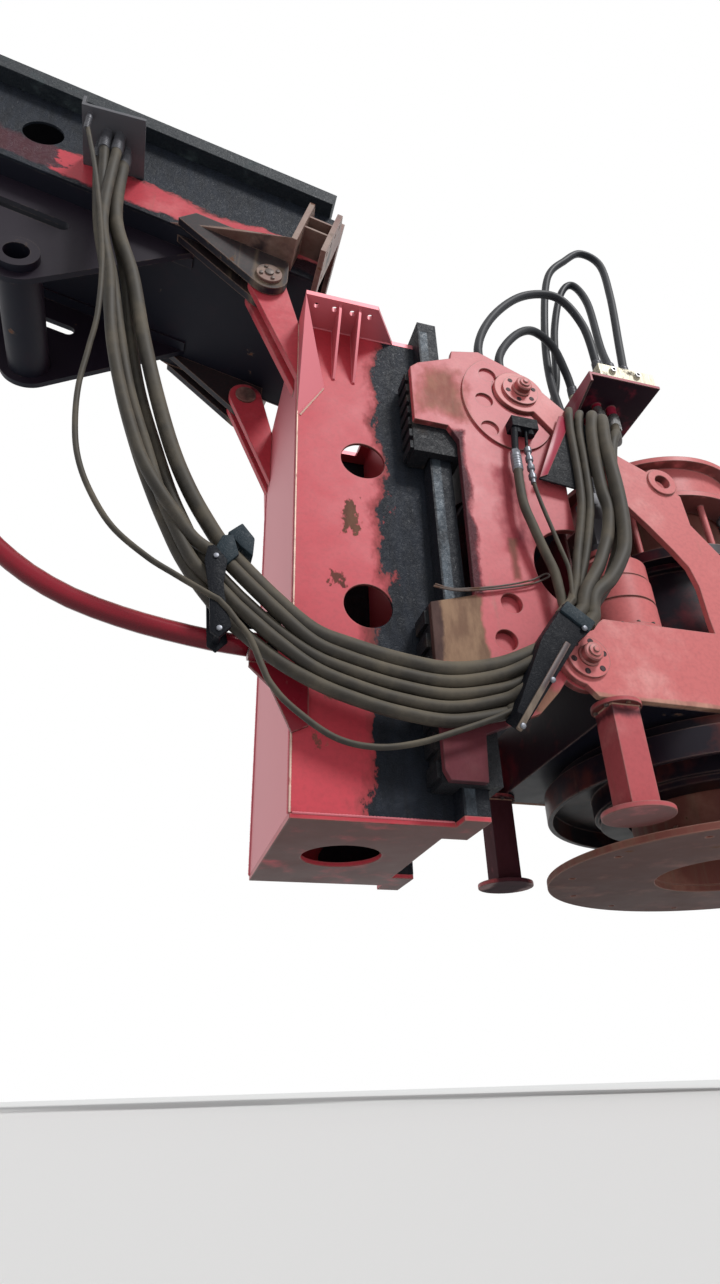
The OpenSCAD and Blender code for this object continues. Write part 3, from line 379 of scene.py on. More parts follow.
@dataclass(frozen=True)
class Finish:
    """A named material whose nodes are made once, on its first use."""

    name: str
    _: KW_ONLY
    patches: tuple[Patch, ...] = ()
    folded: bool = False
    specular: float = 0.20

    def material(self, effects: Effects) -> bpy.types.Material:
        """Return the material, built on the first call."""
        found = bpy.data.materials.get(self.name)
        if found is None:
            found = bpy.data.materials.new(self.name)
            found.use_nodes = True
            self.dress(Coat(found.node_tree, effects, self.specular))
        return found

    def dress(self, g: Coat) -> None:
        """Link the finish's nodes to the shader of g."""
        raise NotImplementedError

    def lay_patches(self, g: Coat, colour: object, rough: object, height: object) -> tuple:
        """Lay the finish's patches over what is there.

        Args:
            g: Graph of the material.
            colour: Colour socket below the patches.
            rough: Roughness socket below the patches.
            height: Height socket below the patches.

        Returns:
            The new colour, roughness and height sockets.
        """
        if not self.patches:
            return colour, rough, height
        place = g.mast_place(self.folded)
        runs = g.noise(21.0, 5.0, 0.62, g.scaled((1.0, 1.0, 0.3)))
        crust = g.use(g.effects.crust)[0]
        for patch in self.patches:
            mask = g.use(g.effects.patch, Vector=place, Low=patch.corner(0),
                         High=patch.corner(1), Ragged=patch.ragged, Soft=patch.soft,
                         Scale=patch.grain)[0]
            other = tuple(0.5 * c for c in patch.colour)
            tone = g.mix(g.span(runs, 0.3, 0.7), other, patch.colour)
            colour = g.mix(g.times(mask, patch.share), colour, tone)
            if patch.greasy:
                rough = g.mix(mask, rough, g.span(crust, 0.1, 0.7, 0.40, 0.72))
                height = g.mix(mask, height, crust)
            else:
                rough = g.mix(mask, rough, (patch.rough,) * 3)
        return colour, rough, height


@dataclass(frozen=True)
class PaintFinish(Finish):
    """Weathered paint with faded patches, chips, rubbed edges, runs, dust and painted underside
    shade.
    """

    base: RGB = (0.52, 0.052, 0.072)
    faded: RGB = (0.64, 0.155, 0.170)
    fade: float = 0.45
    chip_amount: float = 0.28
    chip_size: float = 9.0
    wear_amount: float = 0.35
    wear_colour: RGB = (0.24, 0.15, 0.13)
    streak_amount: float = 0.35
    dust: float = 0.45
    # Painted shade: share and colour by which faces that look down are darkened.
    underside_shade: float = 0.88
    underside_shade_colour: RGB = (0.060, 0.020, 0.016)
    soot: float = 0.0
    gloss: float = 0.42

    def dress(self, g: Coat) -> None:
        """Mix the layers of the paint from the metal outwards.

        Args:
            g: Graph of the material.
        """
        broad = g.noise(1.1, 3.0)
        patch = g.noise(5.5, 5.0, 0.62)
        tone = g.plus(g.times(broad, 0.55), g.times(patch, 0.45))
        faded = g.span(g.minus(tone, 0.72 - 0.42 * self.fade), 0.0, 0.2)
        colour = g.mix(faded, self.base, self.faded)
        grain = g.noise(60.0, 3.0)
        colour = g.mix(g.span(grain, 0.35, 0.8, 0.0, 0.16), colour, (0.12, 0.03, 0.035))
        facing = g.use(g.effects.facing)
        streaks = g.use(g.effects.streaks, Amount=self.streak_amount)[0]
        colour = g.mix(g.times(streaks, 0.42), colour, EARTH)
        # Painted shade: faces that look down are darkened as if they were in shade.
        underside_shade = g.times(facing["Down"], self.underside_shade)
        colour = g.mix(underside_shade, colour, self.underside_shade_colour)
        if self.soot > 0.0:
            black = g.noise(2.6, 5.0, 0.6)
            sooted = g.span(g.minus(black, 0.70 - 0.5 * self.soot), 0.0, 0.14)
            colour = g.mix(g.times(sooted, 0.94), colour, SOOT_AND_SHADE)
        dust = g.times(facing["Up"], self.dust)
        colour = g.mix(dust, colour, (0.34, 0.27, 0.215))
        chips = g.use(g.effects.chips, Size=self.chip_size, Amount=self.chip_amount)
        rust_tone = g.mix(g.noise(40.0, 4.0), RUST, (0.17, 0.075, 0.04))
        colour = g.mix(g.times(chips["Halo"], 0.45), colour, EARTH)
        colour = g.mix(chips["Mask"], colour, rust_tone)
        wear = g.use(g.effects.wear, Width=0.010, Amount=self.wear_amount)[0]
        colour = g.mix(wear, colour, self.wear_colour)
        rough = g.plus(g.times(patch, 0.22), self.gloss - 0.1)
        rough = g.plus(rough, g.times(g.plus(chips["Halo"], dust), 0.35))
        plates = g.noise(2.4, 1.0)
        skin = g.plus(g.times(plates, 0.55), g.times(patch, 0.12))
        skin = g.plus(skin, g.times(grain, 0.03))
        height = g.minus(g.plus(skin, 0.25), g.times(chips["Mask"], 0.22))
        colour, rough, height = self.lay_patches(g, colour, rough, height)
        g.feed(colour, rough, height, 0.6, 0.006)


@dataclass(frozen=True)
class GreaseFinish(Finish):
    """Black old grease, wrinkled and partly shiny, with brown dust in it."""

    dark: RGB
    brown: RGB
    share: float
    depth: float

    def dress(self, g: Coat) -> None:
        """Wrinkle the grease and dull it where dust sits.

        Args:
            g: Graph of the material.
        """
        crust = g.use(g.effects.crust)[0]
        patch = g.noise(6.0, 5.0, 0.62)
        dusty = g.span(g.minus(patch, 0.72 - 0.4 * self.share), 0.0, 0.2)
        colour = g.mix(dusty, self.dark, self.brown)
        rough = g.plus(g.span(crust, 0.1, 0.7, 0.38, 0.66), g.times(dusty, 0.25))
        colour, rough, height = self.lay_patches(g, colour, rough, crust)
        g.feed(colour, rough, height, 0.7, self.depth)


@dataclass(frozen=True)
class MetalFinish(Finish):
    """Bare or plated metal with fine scratches, spots of rust and dirt."""

    bright: RGB = (0.42, 0.42, 0.43)
    dirt: RGB = (0.10, 0.075, 0.058)
    dirt_share: float = 0.35
    metallic: float = 0.85
    gloss: float = 0.32
    brushed: tuple[float, float, float] = (1.0, 1.0, 0.1)

    def dress(self, g: Coat) -> None:
        """Mix brushed metal with its dirt.

        Args:
            g: Graph of the material.
        """
        lines = g.noise(160.0, 3.0, vector=g.scaled(self.brushed))
        patch = g.noise(11.0, 6.0, 0.66)
        dirty = g.span(g.minus(patch, 0.74 - 0.44 * self.dirt_share), 0.0, 0.13)
        tone = g.mix(g.span(lines, 0.3, 0.75, 0.0, 0.35), self.bright, (0.16, 0.15, 0.15))
        wear = g.use(g.effects.wear, Width=0.006, Amount=0.5)[0]
        colour = g.mix(dirty, tone, self.dirt)
        colour = g.mix(g.times(wear, 0.6), colour, self.bright)
        rough = g.plus(g.times(dirty, 0.42),
                       g.span(lines, 0.2, 0.8, self.gloss - 0.06, self.gloss + 0.1))
        g.fill(g.shader.inputs["Metallic"],
               g.minus(self.metallic, g.times(dirty, self.metallic)))
        height = g.plus(g.times(lines, 0.1), g.times(patch, 0.6))
        g.feed(colour, rough, height, 0.35, 0.002)


@dataclass(frozen=True)
class HoseFinish(Finish):
    """Rubber cover of a hose, dusty on top, with scuffs and a faint wrapped texture."""

    rubber: RGB = (0.017, 0.015, 0.013)
    dust: RGB = (0.185, 0.155, 0.112)
    dust_share: float = 0.72
    gloss: float = 0.58

    def dress(self, g: Coat) -> None:
        """Lay dust on the upper side of the rubber.

        Args:
            g: Graph of the material.
        """
        patch = g.noise(4.5, 5.0, 0.62)
        fine = g.noise(130.0, 3.0)
        top = g.span(g.upness(), -0.35, 0.85, 0.12, 0.72)
        veil = g.times(g.plus(top, g.span(patch, 0.4, 0.75, 0.0, 0.5)), self.dust_share)
        veil = g.times(veil, g.span(patch, 0.18, 0.6, 0.35, 1.0))
        colour = g.mix(veil, self.rubber, self.dust)
        scuff = g.use(g.effects.chips, Size=22.0, Amount=0.25)["Halo"]
        colour = g.mix(g.times(scuff, 0.45), colour, (0.21, 0.18, 0.15))
        rough = g.plus(g.times(veil, 0.4), self.gloss - 0.04)
        height = g.plus(g.times(fine, 0.35), g.times(patch, 0.5))
        g.feed(colour, rough, height, 0.4, 0.0016)


class Look(Enum):
    """Every finish of the object."""

    RED = PaintFinish(
        "red_paint", patches=(
            Patch((540, 700), (-200, 2600), OLD_GREASE, 1.0, 0.08, 0.02, greasy=True,
                  across=(-700, -215)),
            Patch((540, 700), (-200, 2600), OLD_GREASE, 1.0, 0.08, 0.02, greasy=True,
                  across=(215, 700)),
            # Painted shade: the lower mast's rear face, turned away from the sun, is darkened to
            # dark crimson.
            Patch((-50, 6), (-200, 2600), (0.15, 0.014, 0.032), 0.75, 0.02, 0.01)))
    WALL = PaintFinish(
        "red_wall_paint", fade=0.34, chip_amount=0.28, streak_amount=0.25, patches=(
            Patch((330, 900), (700, 2600), SMEAR, 0.75, 0.16, 0.09),
            Patch((235, 900), (-300, 900), SMEAR, 0.80, 0.16, 0.10),
            Patch((392, 900), (640, 2600), OLD_GREASE, 1.0, 0.16, 0.014, greasy=True),
            Patch((335, 900), (420, 900), OLD_GREASE, 1.0, 0.16, 0.014, greasy=True),
            Patch((290, 900), (-300, 560), OLD_GREASE, 1.0, 0.17, 0.014, greasy=True),
            Patch((205, 268), (1235, 1415), (0.11, 0.070, 0.040), 0.9, 0.10, 0.010, grain=16.0,
                  across=NEAR_SIDE),
            Patch((154, 202), (955, 1022), (0.10, 0.045, 0.030), 0.9, 0.07, 0.008, grain=24.0,
                  across=NEAR_SIDE),
            Patch((112, 168), (445, 525), (0.13, 0.075, 0.050), 0.75, 0.09, 0.010, grain=24.0,
                  across=NEAR_SIDE),
            Patch((72, 120), (252, 315), (0.13, 0.075, 0.050), 0.75, 0.08, 0.010, grain=24.0,
                  across=NEAR_SIDE)))
    MID_WALL = PaintFinish(
        "middle_mast_paint", fade=0.5, chip_amount=0.35, soot=0.1, folded=True, patches=(
            Patch((205, 900), (1800, 7000), SMEAR, 0.8, 0.12, 0.05),
            Patch((-100, 52), (1800, 7000), SOOT_AND_SHADE, 1.0, 0.07, 0.02, greasy=True),
            Patch((-100, 150), (1800, 2790), SOOT_AND_SHADE, 0.96, 0.12, 0.03, greasy=True),
            Patch((232, 900), (1800, 7000), OLD_GREASE, 1.0, 0.10, 0.016, greasy=True),
            Patch((-100, 900), (3900, 7000), OLD_GREASE, 0.9, 0.5, 0.05, greasy=True)))
    INNER = PaintFinish(
        "inner_crimson_paint", base=(0.10, 0.010, 0.016), faded=(0.20, 0.040, 0.045), fade=0.25,
        chip_amount=0.3, soot=0.45)
    DRIVE_RED = PaintFinish(
        "faded_red_paint", base=(0.58, 0.150, 0.150), faded=(0.70, 0.300, 0.285), fade=0.58,
        chip_amount=0.2, patches=(
            Patch((900, 3100), (440, 502), (0.50, 0.33, 0.23), 0.6, 0.02, 0.012),))
    SLEDGE_RED = PaintFinish(
        "sledge_red_paint", base=(0.50, 0.085, 0.100), faded=(0.64, 0.225, 0.225), fade=0.5,
        chip_amount=0.28, soot=0.05, patches=(
            Patch((500, 790), (1840, 2230), KHAKI, 0.62, 0.16, 0.12),
            # Painted shadow: a soft dark crimson patch where the shelf's shadow falls on the
            # sledge plate.
            Patch((830, 1010), (1120, 1640), (0.20, 0.014, 0.035), 0.80, 0.10, 0.12,
                  across=(-640, -300)),
            Patch((905, 1000), (1180, 1600), PLUM, 0.75, 0.08, 0.09, across=(-640, -300)),
            Patch((868, 925), (985, 1215), (0.17, 0.10, 0.06), 0.7, 0.04, 0.03,
                  across=(-640, -300)),
            Patch((840, 1060), (370, 520), KHAKI, 0.75, 0.08, 0.04, across=NEAR_SIDE),
            Patch((440, 750), (880, 1800), SOOT_AND_SHADE, 0.85, 0.06, 0.03, greasy=True),
            Patch((440, 800), (-200, 560), PLUM, 0.82, 0.14, 0.06),
            Patch((440, 735), (560, 900), KHAKI, 0.9, 0.05, 0.02),
            Patch((440, 548), (560, 900), PLUM, 0.8, 0.05, 0.02)))
    LEG = PaintFinish(
        "leg_red_paint", base=(0.44, 0.085, 0.095), faded=(0.56, 0.19, 0.19), fade=0.45,
        chip_amount=0.25, patches=(
            # Painted shade: the far rear leg is darkened to plum as if in shade, and the bands
            # just below the leg flanges are painted shadow under them.
            Patch((1150, 1350), (-50, 480), PLUM, 0.88, 0.06, 0.03, across=(300, 700)),
            Patch((1150, 1400), (400, 462), SOOT_AND_SHADE, 0.8, 0.05, 0.03, across=(-700, -420)),
            Patch((2700, 3000), (400, 462), SOOT_AND_SHADE, 0.8, 0.05, 0.03)))
    SHELF_RED = PaintFinish(
        "shelf_crimson_paint", base=(0.33, 0.020, 0.050), faded=(0.42, 0.060, 0.090), fade=0.2,
        chip_amount=0.3, underside_shade=1.0, underside_shade_colour=(0.014, 0.006, 0.012), gloss=0.36)
    LUG_RED = PaintFinish(
        "hinge_lug_paint", fade=0.5, chip_amount=0.4, soot=0.30, underside_shade=0.95, underside_shade_colour=SOOT_AND_SHADE)
    FOOT_RED = PaintFinish(
        "foot_red_paint", fade=0.2, chip_amount=0.35, underside_shade=0.97,
        underside_shade_colour=(0.070, 0.022, 0.016), soot=0.08, gloss=0.36)
    # Partly soot, partly painted shade: near-black red for the parts that sit in shade under the
    # middle mast and inside the sledge.
    HIDDEN_RED = PaintFinish(
        "sooty_shaded_red_paint", base=(0.10, 0.012, 0.018), faded=(0.14, 0.03, 0.03), fade=0.1,
        chip_amount=0.3, streak_amount=0.3, soot=0.97, underside_shade=0.95, dust=0.35, underside_shade_colour=SOOT_AND_SHADE,
        wear_colour=(0.06, 0.045, 0.04), wear_amount=0.2, gloss=0.5)
    FRAME_RED = PaintFinish(
        "dirty_frame_paint", base=(0.11, 0.014, 0.022), faded=(0.22, 0.055, 0.055), fade=0.25,
        chip_amount=0.45, streak_amount=0.6, soot=0.72, underside_shade=0.98,
        underside_shade_colour=(0.012, 0.009, 0.014))
    EAR = PaintFinish(
        "greasy_ear_paint", base=(0.022, 0.018, 0.020), faded=(0.060, 0.050, 0.048), fade=0.4,
        chip_amount=0.35, dust=0.3, underside_shade_colour=SOOT_AND_SHADE, wear_colour=(0.20, 0.13, 0.10), patches=(
            Patch((-262, -70), (2640, 2832), (0.23, 0.165, 0.12), 0.85, 0.05, 0.04),))
    DRUM = PaintFinish(
        "drum_brown_paint", base=(0.085, 0.022, 0.020), faded=(0.16, 0.055, 0.045),
        chip_amount=0.45, streak_amount=0.6, soot=0.6, underside_shade=0.95,
        underside_shade_colour=(0.020, 0.012, 0.012))
    DISC = PaintFinish(
        "disc_rusty_paint", base=(0.20, 0.070, 0.055), faded=(0.34, 0.165, 0.12), chip_amount=0.5,
        chip_size=6.0, streak_amount=0.8, underside_shade=0.93, underside_shade_colour=(0.068, 0.026, 0.021),
        wear_amount=0.6, wear_colour=(0.36, 0.20, 0.155), gloss=0.58)
    STAY = PaintFinish(
        "stay_tube_paint", base=(0.24, 0.012, 0.024), faded=(0.34, 0.040, 0.055), fade=0.2,
        chip_amount=0.25, underside_shade=0.7, underside_shade_colour=(0.05, 0.008, 0.012), gloss=0.26)
    TAN = PaintFinish(
        "tan_worn_paint", base=(0.20, 0.10, 0.085), faded=(0.33, 0.24, 0.20), fade=0.6,
        chip_amount=0.6, dust=0.6, streak_amount=0.7, soot=0.35, underside_shade=0.6)
    # Partly grease, partly painted shade: the claws are kept near black as they sit in shade.
    CLAW = GreaseFinish(
        "greasy_shaded_claw_iron", (0.008, 0.009, 0.012), (0.050, 0.037, 0.030), 0.45, 0.006,
        specular=0.25)
    RAIL = GreaseFinish(
        "greasy_rail_iron", (0.006, 0.008, 0.013), (0.030, 0.032, 0.038), 0.35, 0.005,
        specular=0.25, patches=(
            # Partly real, partly painted reflection: a blue-grey strip stands for the polished
            # running face and the sky reflected in it.
            Patch((596, 642), (-200, 2520), (0.20, 0.25, 0.30), 0.9, 0.012, 0.012, 0.26,
                  across=NEAR_RAIL),
            Patch((596, 642), (-200, 2520), (0.20, 0.25, 0.30), 0.9, 0.012, 0.012, 0.26,
                  across=FAR_RAIL)))
    MID_RAIL = GreaseFinish(
        "middle_rail_iron", (0.007, 0.011, 0.016), (0.040, 0.055, 0.060), 0.5, 0.005, specular=0.3)
    WELD = MetalFinish(
        "worn_bright_weld", bright=(0.66, 0.44, 0.36), metallic=0.25, dirt=(0.50, 0.10, 0.11),
        dirt_share=0.4, gloss=0.45)
    STEEL = MetalFinish("bright_steel", dirt_share=0.28)
    ROD = MetalFinish("chromed_rod", bright=(0.50, 0.52, 0.55), dirt_share=0.12, gloss=0.14)
    PALE = MetalFinish(
        "pale_plated_steel", bright=(0.56, 0.52, 0.40), metallic=0.3, dirt_share=0.4, gloss=0.45)
    FITTING = MetalFinish("plated_fitting", bright=(0.36, 0.36, 0.36), dirt_share=0.4, gloss=0.28)
    RING = MetalFinish(
        "grey_fitting", bright=(0.20, 0.21, 0.24), metallic=0.5, dirt=(0.05, 0.05, 0.06),
        dirt_share=0.4, gloss=0.4)
    DARK = MetalFinish(
        "dark_steel", bright=(0.018, 0.024, 0.030), metallic=0.2, dirt=(0.050, 0.040, 0.036),
        dirt_share=0.4, gloss=0.5)
    BOLT = MetalFinish(
        "rusty_bolt", bright=(0.12, 0.095, 0.085), metallic=0.4, dirt=(0.13, 0.06, 0.035),
        dirt_share=0.6, gloss=0.5)
    HOSE = HoseFinish("dusty_hose_rubber", specular=0.3)
    # Sooty black iron, and painted shade where it stands for the shade behind the lower clamp's
    # hose ends.
    BLACK = GreaseFinish(
        "sooty_black_iron_and_shade", (0.004, 0.005, 0.008), (0.014, 0.013, 0.015), 0.3, 0.003,
        specular=0.12)
    TEAL = GreaseFinish(
        "worn_clamp_iron", (0.012, 0.022, 0.030), (0.034, 0.037, 0.040), 0.4, 0.003, specular=0.2)
    # Painted shade: near-black colour for discs that stand for the shade inside holes.
    HOLE_SHADE = MetalFinish(
        "painted_hole_shade", bright=(0.030, 0.006, 0.010), metallic=0.0, dirt=(0.012, 0.005, 0.008),
        dirt_share=0.5, gloss=0.6)
    BAR = PaintFinish(
        "dusty_bar_paint", base=(0.050, 0.036, 0.038), faded=(0.14, 0.10, 0.085), fade=0.4,
        chip_amount=0.4, patches=(
            Patch((600, 835), (200, 430), (0.24, 0.19, 0.145), 0.8, 0.03, 0.03,
                  across=(-800, -600)),))
    DARK_HOSE = HoseFinish(
        "dark_hose_rubber", rubber=(0.010, 0.012, 0.017), dust=(0.070, 0.068, 0.070),
        dust_share=0.5, gloss=0.45)


# ---- mesh tools ----


class Piece:
    """Collects shapes in one bmesh and turns them into a finished, riding piece."""

    def __init__(self, name: str) -> None:
        """Start an empty piece."""
        self.name = name
        self.bm = bmesh.new()

    def prism(self, place: Vector, axis: Vector, radius: float, height: float, sides: int = 24,
              chamfer: float = 0.0, top: float | None = None, turn: float = 0.0) -> None:
        """Add a closed prism, cylinder or cone.

        Args:
            place: Centre of its foot, in metres.
            axis: Direction in which it stands.
            radius: Radius of its foot.
            height: Its height.
            sides: Number of sides.
            chamfer: Width of the bevel on its far edge.
            top: Radius of its far end, or None for the same.
            turn: Angle about its axis.
        """
        made = bmesh.ops.create_cone(self.bm, cap_ends=True, cap_tris=False, segments=sides,
                                     radius1=radius, radius2=radius if top is None else top,
                                     depth=height)["verts"]
        if chamfer > 0.0:
            far = [e for e in {e for v in made for e in v.link_edges}
                   if all(v.co.z > 0.0 for v in e.verts)]
            self.bevel(far, chamfer)
            made = self._island(made)
        spin = Matrix.Rotation(turn, 4, "Z")
        bmesh.ops.transform(self.bm, verts=made, matrix=turned_to(axis, place) @ spin
                            @ Matrix.Translation((0.0, 0.0, height / 2)))

    def _island(self, seeds: list[bmesh.types.BMVert]) -> list[bmesh.types.BMVert]:
        """Return every vertex joined to the seeds that are still there."""
        stack = [v for v in seeds if v.is_valid]
        found = set(stack)
        while stack:
            for edge in stack.pop().link_edges:
                for v in edge.verts:
                    if v not in found:
                        found.add(v)
                        stack.append(v)
        return list(found)

    def _outward(self, seeds: list[bmesh.types.BMVert]) -> list[bmesh.types.BMVert]:
        """Turn the faces joined to the seeds outwards, and return their vertices."""
        made = self._island(seeds)
        bmesh.ops.recalc_face_normals(self.bm, faces=list({f for v in made for f in v.link_faces}))
        return made

    def turned(self, place: Vector, axis: Vector, profile: list[tuple[float, float]],
               steps: int = 32) -> None:
        """Add a turned shape.

        Args:
            place: Foot of its axis, in metres.
            axis: Direction of its axis.
            profile: Radius and height of each corner, starting and ending on the axis or
                meeting its start for a ring.
            steps: Steps of the full turn.
        """
        verts = [self.bm.verts.new((r, 0.0, h)) for r, h in profile]
        edges = [self.bm.edges.new(pair) for pair in zip(verts, verts[1:])]
        bmesh.ops.spin(self.bm, geom=verts + edges, cent=(0, 0, 0), axis=(0, 0, 1),
                       angle=math.tau, steps=steps, use_merge=True, use_duplicate=False)
        made = self._island(verts)
        bmesh.ops.remove_doubles(self.bm, verts=made, dist=1e-6)
        made = self._outward(made)
        bmesh.ops.transform(self.bm, verts=made, matrix=turned_to(axis, place))

    def bevel(self, edges: list[bmesh.types.BMEdge], width: float) -> None:
        """Round edges."""
        bmesh.ops.bevel(self.bm, geom=edges, offset=width, offset_type="OFFSET", affect="EDGES",
                        segments=2, profile=0.5, material=-1, clamp_overlap=True)

    def slab(self, place: Vector, size: XYZ, chamfer: float = 0.003) -> None:
        """Add a bevelled block.

        Args:
            place: Its centre, in metres.
            size: Its lengths along the axes.
            chamfer: Width of its bevels.
        """
        made = bmesh.ops.create_cube(self.bm, size=1.0)["verts"]
        bmesh.ops.scale(self.bm, vec=size, verts=made)
        bmesh.ops.translate(self.bm, vec=place, verts=made)
        self.bevel(list({e for v in made for e in v.link_edges}), chamfer)

    def plate(self, corners: PATH, way: Vector, chamfer: float = 0.002) -> None:
        """Add a bevelled plate.

        Args:
            corners: Its flat outline, in metres.
            way: Its thickness as a vector away from the outline.
            chamfer: Width of its bevels.
        """
        face = self.bm.faces.new([self.bm.verts.new(corner) for corner in corners])
        drawn = bmesh.ops.extrude_face_region(self.bm, geom=[face], use_keep_orig=True)["geom"]
        made = [v for v in drawn if isinstance(v, bmesh.types.BMVert)]
        bmesh.ops.translate(self.bm, verts=made, vec=way)
        made = self._outward(made)
        self.bevel(list({e for v in made for e in v.link_edges}), chamfer)

    def sheet(self, outline: tuple, low: float, high: float, chamfer: float = 0.003) -> None:
        """Add a plate whose outline lies in X and Z, from low to high along Y."""
        self.plate([at(x, low, z) for x, z in outline], Vector((0, (high - low) * 0.001, 0)),
                   chamfer)

    def bolt(self, place: Vector, axis: Vector, across: float = 0.030, washer: bool = True,
             turn: float = 0.0) -> None:
        """Add a hexagon bolt head on its washer.

        Args:
            place: Where the seat and the bolt's axis meet.
            axis: Direction away from the seat.
            across: Width over the corners.
            washer: Whether it has a washer.
            turn: Angle about its axis.
        """
        seat = place
        if washer:
            self.prism(place, axis, across * 0.66, across * 0.1, 20)
            seat = place + axis.normalized() * across * 0.1
        self.prism(seat, axis, across / 2, across * 0.36, 6, across * 0.05, turn=turn)

    def bolt_ring(self, place: Vector, axis: Vector, ring: float, count: int, across: float,
                  washer: bool = False, first: float = 0.5) -> None:
        """Seat bolts on a level circle.

        Args:
            place: Centre of the circle, in metres.
            axis: Direction away from the seat.
            ring: Radius of the circle in millimetres.
            count: Number of bolts.
            across: Width over a bolt's corners.
            washer: Whether they have washers.
            first: Share of a step before the first bolt.
        """
        for i in range(count):
            a = math.tau * (i + first) / count
            self.bolt(place + Vector((math.cos(a), math.sin(a), 0.0)) * ring * 0.001, axis,
                      across, washer, a)

    def finish(self, look: Look, body: str, slot: str, shop: "Workshop") -> bpy.types.Object:
        """Turn the bmesh into an object that rides on a body.

        Args:
            look: Its finish.
            body: CAD body that it rides on.
            slot: The record's material slot; not used.
            shop: Workshop that dresses and counts it.

        Returns:
            The finished object.
        """
        mesh = bpy.data.meshes.new(self.name)
        self.bm.to_mesh(mesh)
        self.bm.free()
        thing = bpy.data.objects.new(self.name, mesh)
        return shop.settle(thing, look, body)


@dataclass
class Workshop:
    """Dresses pieces and CAD nodes, and keeps a list of what was made."""

    effects: Effects = field(default_factory=Effects)
    made: list[str] = field(default_factory=list)
    nodes: dict = field(default_factory=lambda: dict(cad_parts))
    sharp_from: float = math.radians(38.0)
    round_from: float = math.radians(32.0)
    flat_below: float = math.radians(0.4)
    weld_gap: float = 1e-5

    def settle(self, thing: bpy.types.Object, look: Look, body: str | None) -> bpy.types.Object:
        """Link, shade and dress a new object.

        Args:
            thing: Mesh object at the origin.
            look: Its finish.
            body: Body to ride on, or None to leave it unattached.

        Returns:
            The same object.
        """
        bpy.context.scene.collection.objects.link(thing)
        self.coat(thing.data, look)
        thing.data.set_sharp_from_angle(angle=self.sharp_from)
        if body is not None:
            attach(thing, body)
        self.made.append(thing.name)
        log.info("%s: %d faces", thing.name, len(thing.data.polygons))
        return thing

    def coat(self, mesh: bpy.types.Mesh, look: Look) -> None:
        """Give a mesh its finish and smooth shading."""
        mesh.materials.clear()
        mesh.materials.append(look.value.material(self.effects))
        mesh.polygons.foreach_set("use_smooth", [True] * len(mesh.polygons))

    def tubes(self, name: str, runs: list[tuple[PATH, list[float] | float]], look: Look,
              body: str | None, slot: str, sides: int = 6) -> bpy.types.Object:
        """Make closed tubes along paths.

        Args:
            name: Name of the piece.
            runs: Paths, each with one radius or a radius for each point.
            look: Its finish.
            body: Body to ride on, or None.
            slot: The record's material slot; not used.
            sides: Bevel resolution of the tube.

        Returns:
            The mesh object.
        """
        curve = bpy.data.curves.new(name, "CURVE")
        curve.dimensions = "3D"
        curve.bevel_depth = 1.0
        curve.bevel_resolution = sides
        curve.use_fill_caps = True
        for path, radius in runs:
            spline = curve.splines.new("POLY")
            spline.points.add(len(path) - 1)
            widths = radius if isinstance(radius, list) else [radius] * len(path)
            for point, place, width in zip(spline.points, path, widths):
                point.co = (*place, 1.0)
                point.radius = width
        holder = bpy.data.objects.new(name + "_line", curve)
        bpy.context.scene.collection.objects.link(holder)
        mesh = bpy.data.meshes.new_from_object(holder)
        bpy.data.objects.remove(holder)
        bpy.data.curves.remove(curve)
        bm = bmesh.new()
        bm.from_mesh(mesh)
        bmesh.ops.remove_doubles(bm, verts=bm.verts, dist=1e-6)
        bmesh.ops.recalc_face_normals(bm, faces=bm.faces)
        bm.to_mesh(mesh)
        bm.free()
        mesh.name = name
        return self.settle(bpy.data.objects.new(name, mesh), look, body)

    def dress(self, node: str, look: Look, edge: float = 0.003) -> None:
        """Give a CAD node its finish and softened edges.

        Args:
            node: Name of the node.
            look: Its finish.
            edge: Width of its rounded edges in metres, or 0 for none.
        """
        thing = self.nodes.pop(node)
        stored = thing.data.attributes.get("custom_normal")
        if stored is not None:
            thing.data.attributes.remove(stored)
        self.coat(thing.data, look)
        weld = thing.modifiers.new("weld", "WELD")
        weld.merge_threshold = self.weld_gap
        if edge > 0.0:
            flat = thing.modifiers.new("flat_faces", "DECIMATE")
            flat.decimate_type = "DISSOLVE"
            flat.angle_limit = self.flat_below
            bevel = thing.modifiers.new("edges", "BEVEL")
            bevel.width = edge
            bevel.segments = 2
            bevel.limit_method = "ANGLE"
            bevel.angle_limit = self.round_from
            bevel.harden_normals = True
            bevel.use_clamp_overlap = True


def smooth_route(points: list, count: int) -> PATH:
    """Return a Catmull-Rom curve through points, with count steps between two of them."""
    points = [Vector(point) for point in points]
    last = len(points) - 1
    out = []
    for i in range(last):
        a, b = points[max(i - 1, 0)], points[i]
        c, d = points[i + 1], points[min(i + 2, last)]
        for j in range(count):
            t = j / count
            out.append(0.5 * (2 * b + (c - a) * t + (2 * a - 5 * b + 4 * c - d) * t * t
                              + (3 * b - a - 3 * c + d) * t ** 3))
    return out + [points[last]]


def weld_line(corners: list[XYZ], radius: float, seed: int,
              pitch: float = 0.006) -> tuple[PATH, list]:
    """Return a rippled weld bead.

    Args:
        corners: Corners of its line, in millimetres.
        radius: Mean radius of the bead.
        seed: Seed of its ripples.
        pitch: Distance between two ripples.

    Returns:
        Its points and their radii.
    """
    dice = Random(seed)
    points = [at(*corner) for corner in corners]
    path, widths = [], []
    for a, b in zip(points, points[1:]):
        steps = max(2, int((b - a).length / pitch))
        for i in range(steps):
            path.append(a.lerp(b, i / steps))
            widths.append(radius * (1.0 + (0.16 if i % 2 else -0.12) + dice.uniform(-0.1, 0.1)))
    path.append(points[-1])
    widths.append(radius * 0.8)
    return path, widths


# ---- camera, lights and floor ----


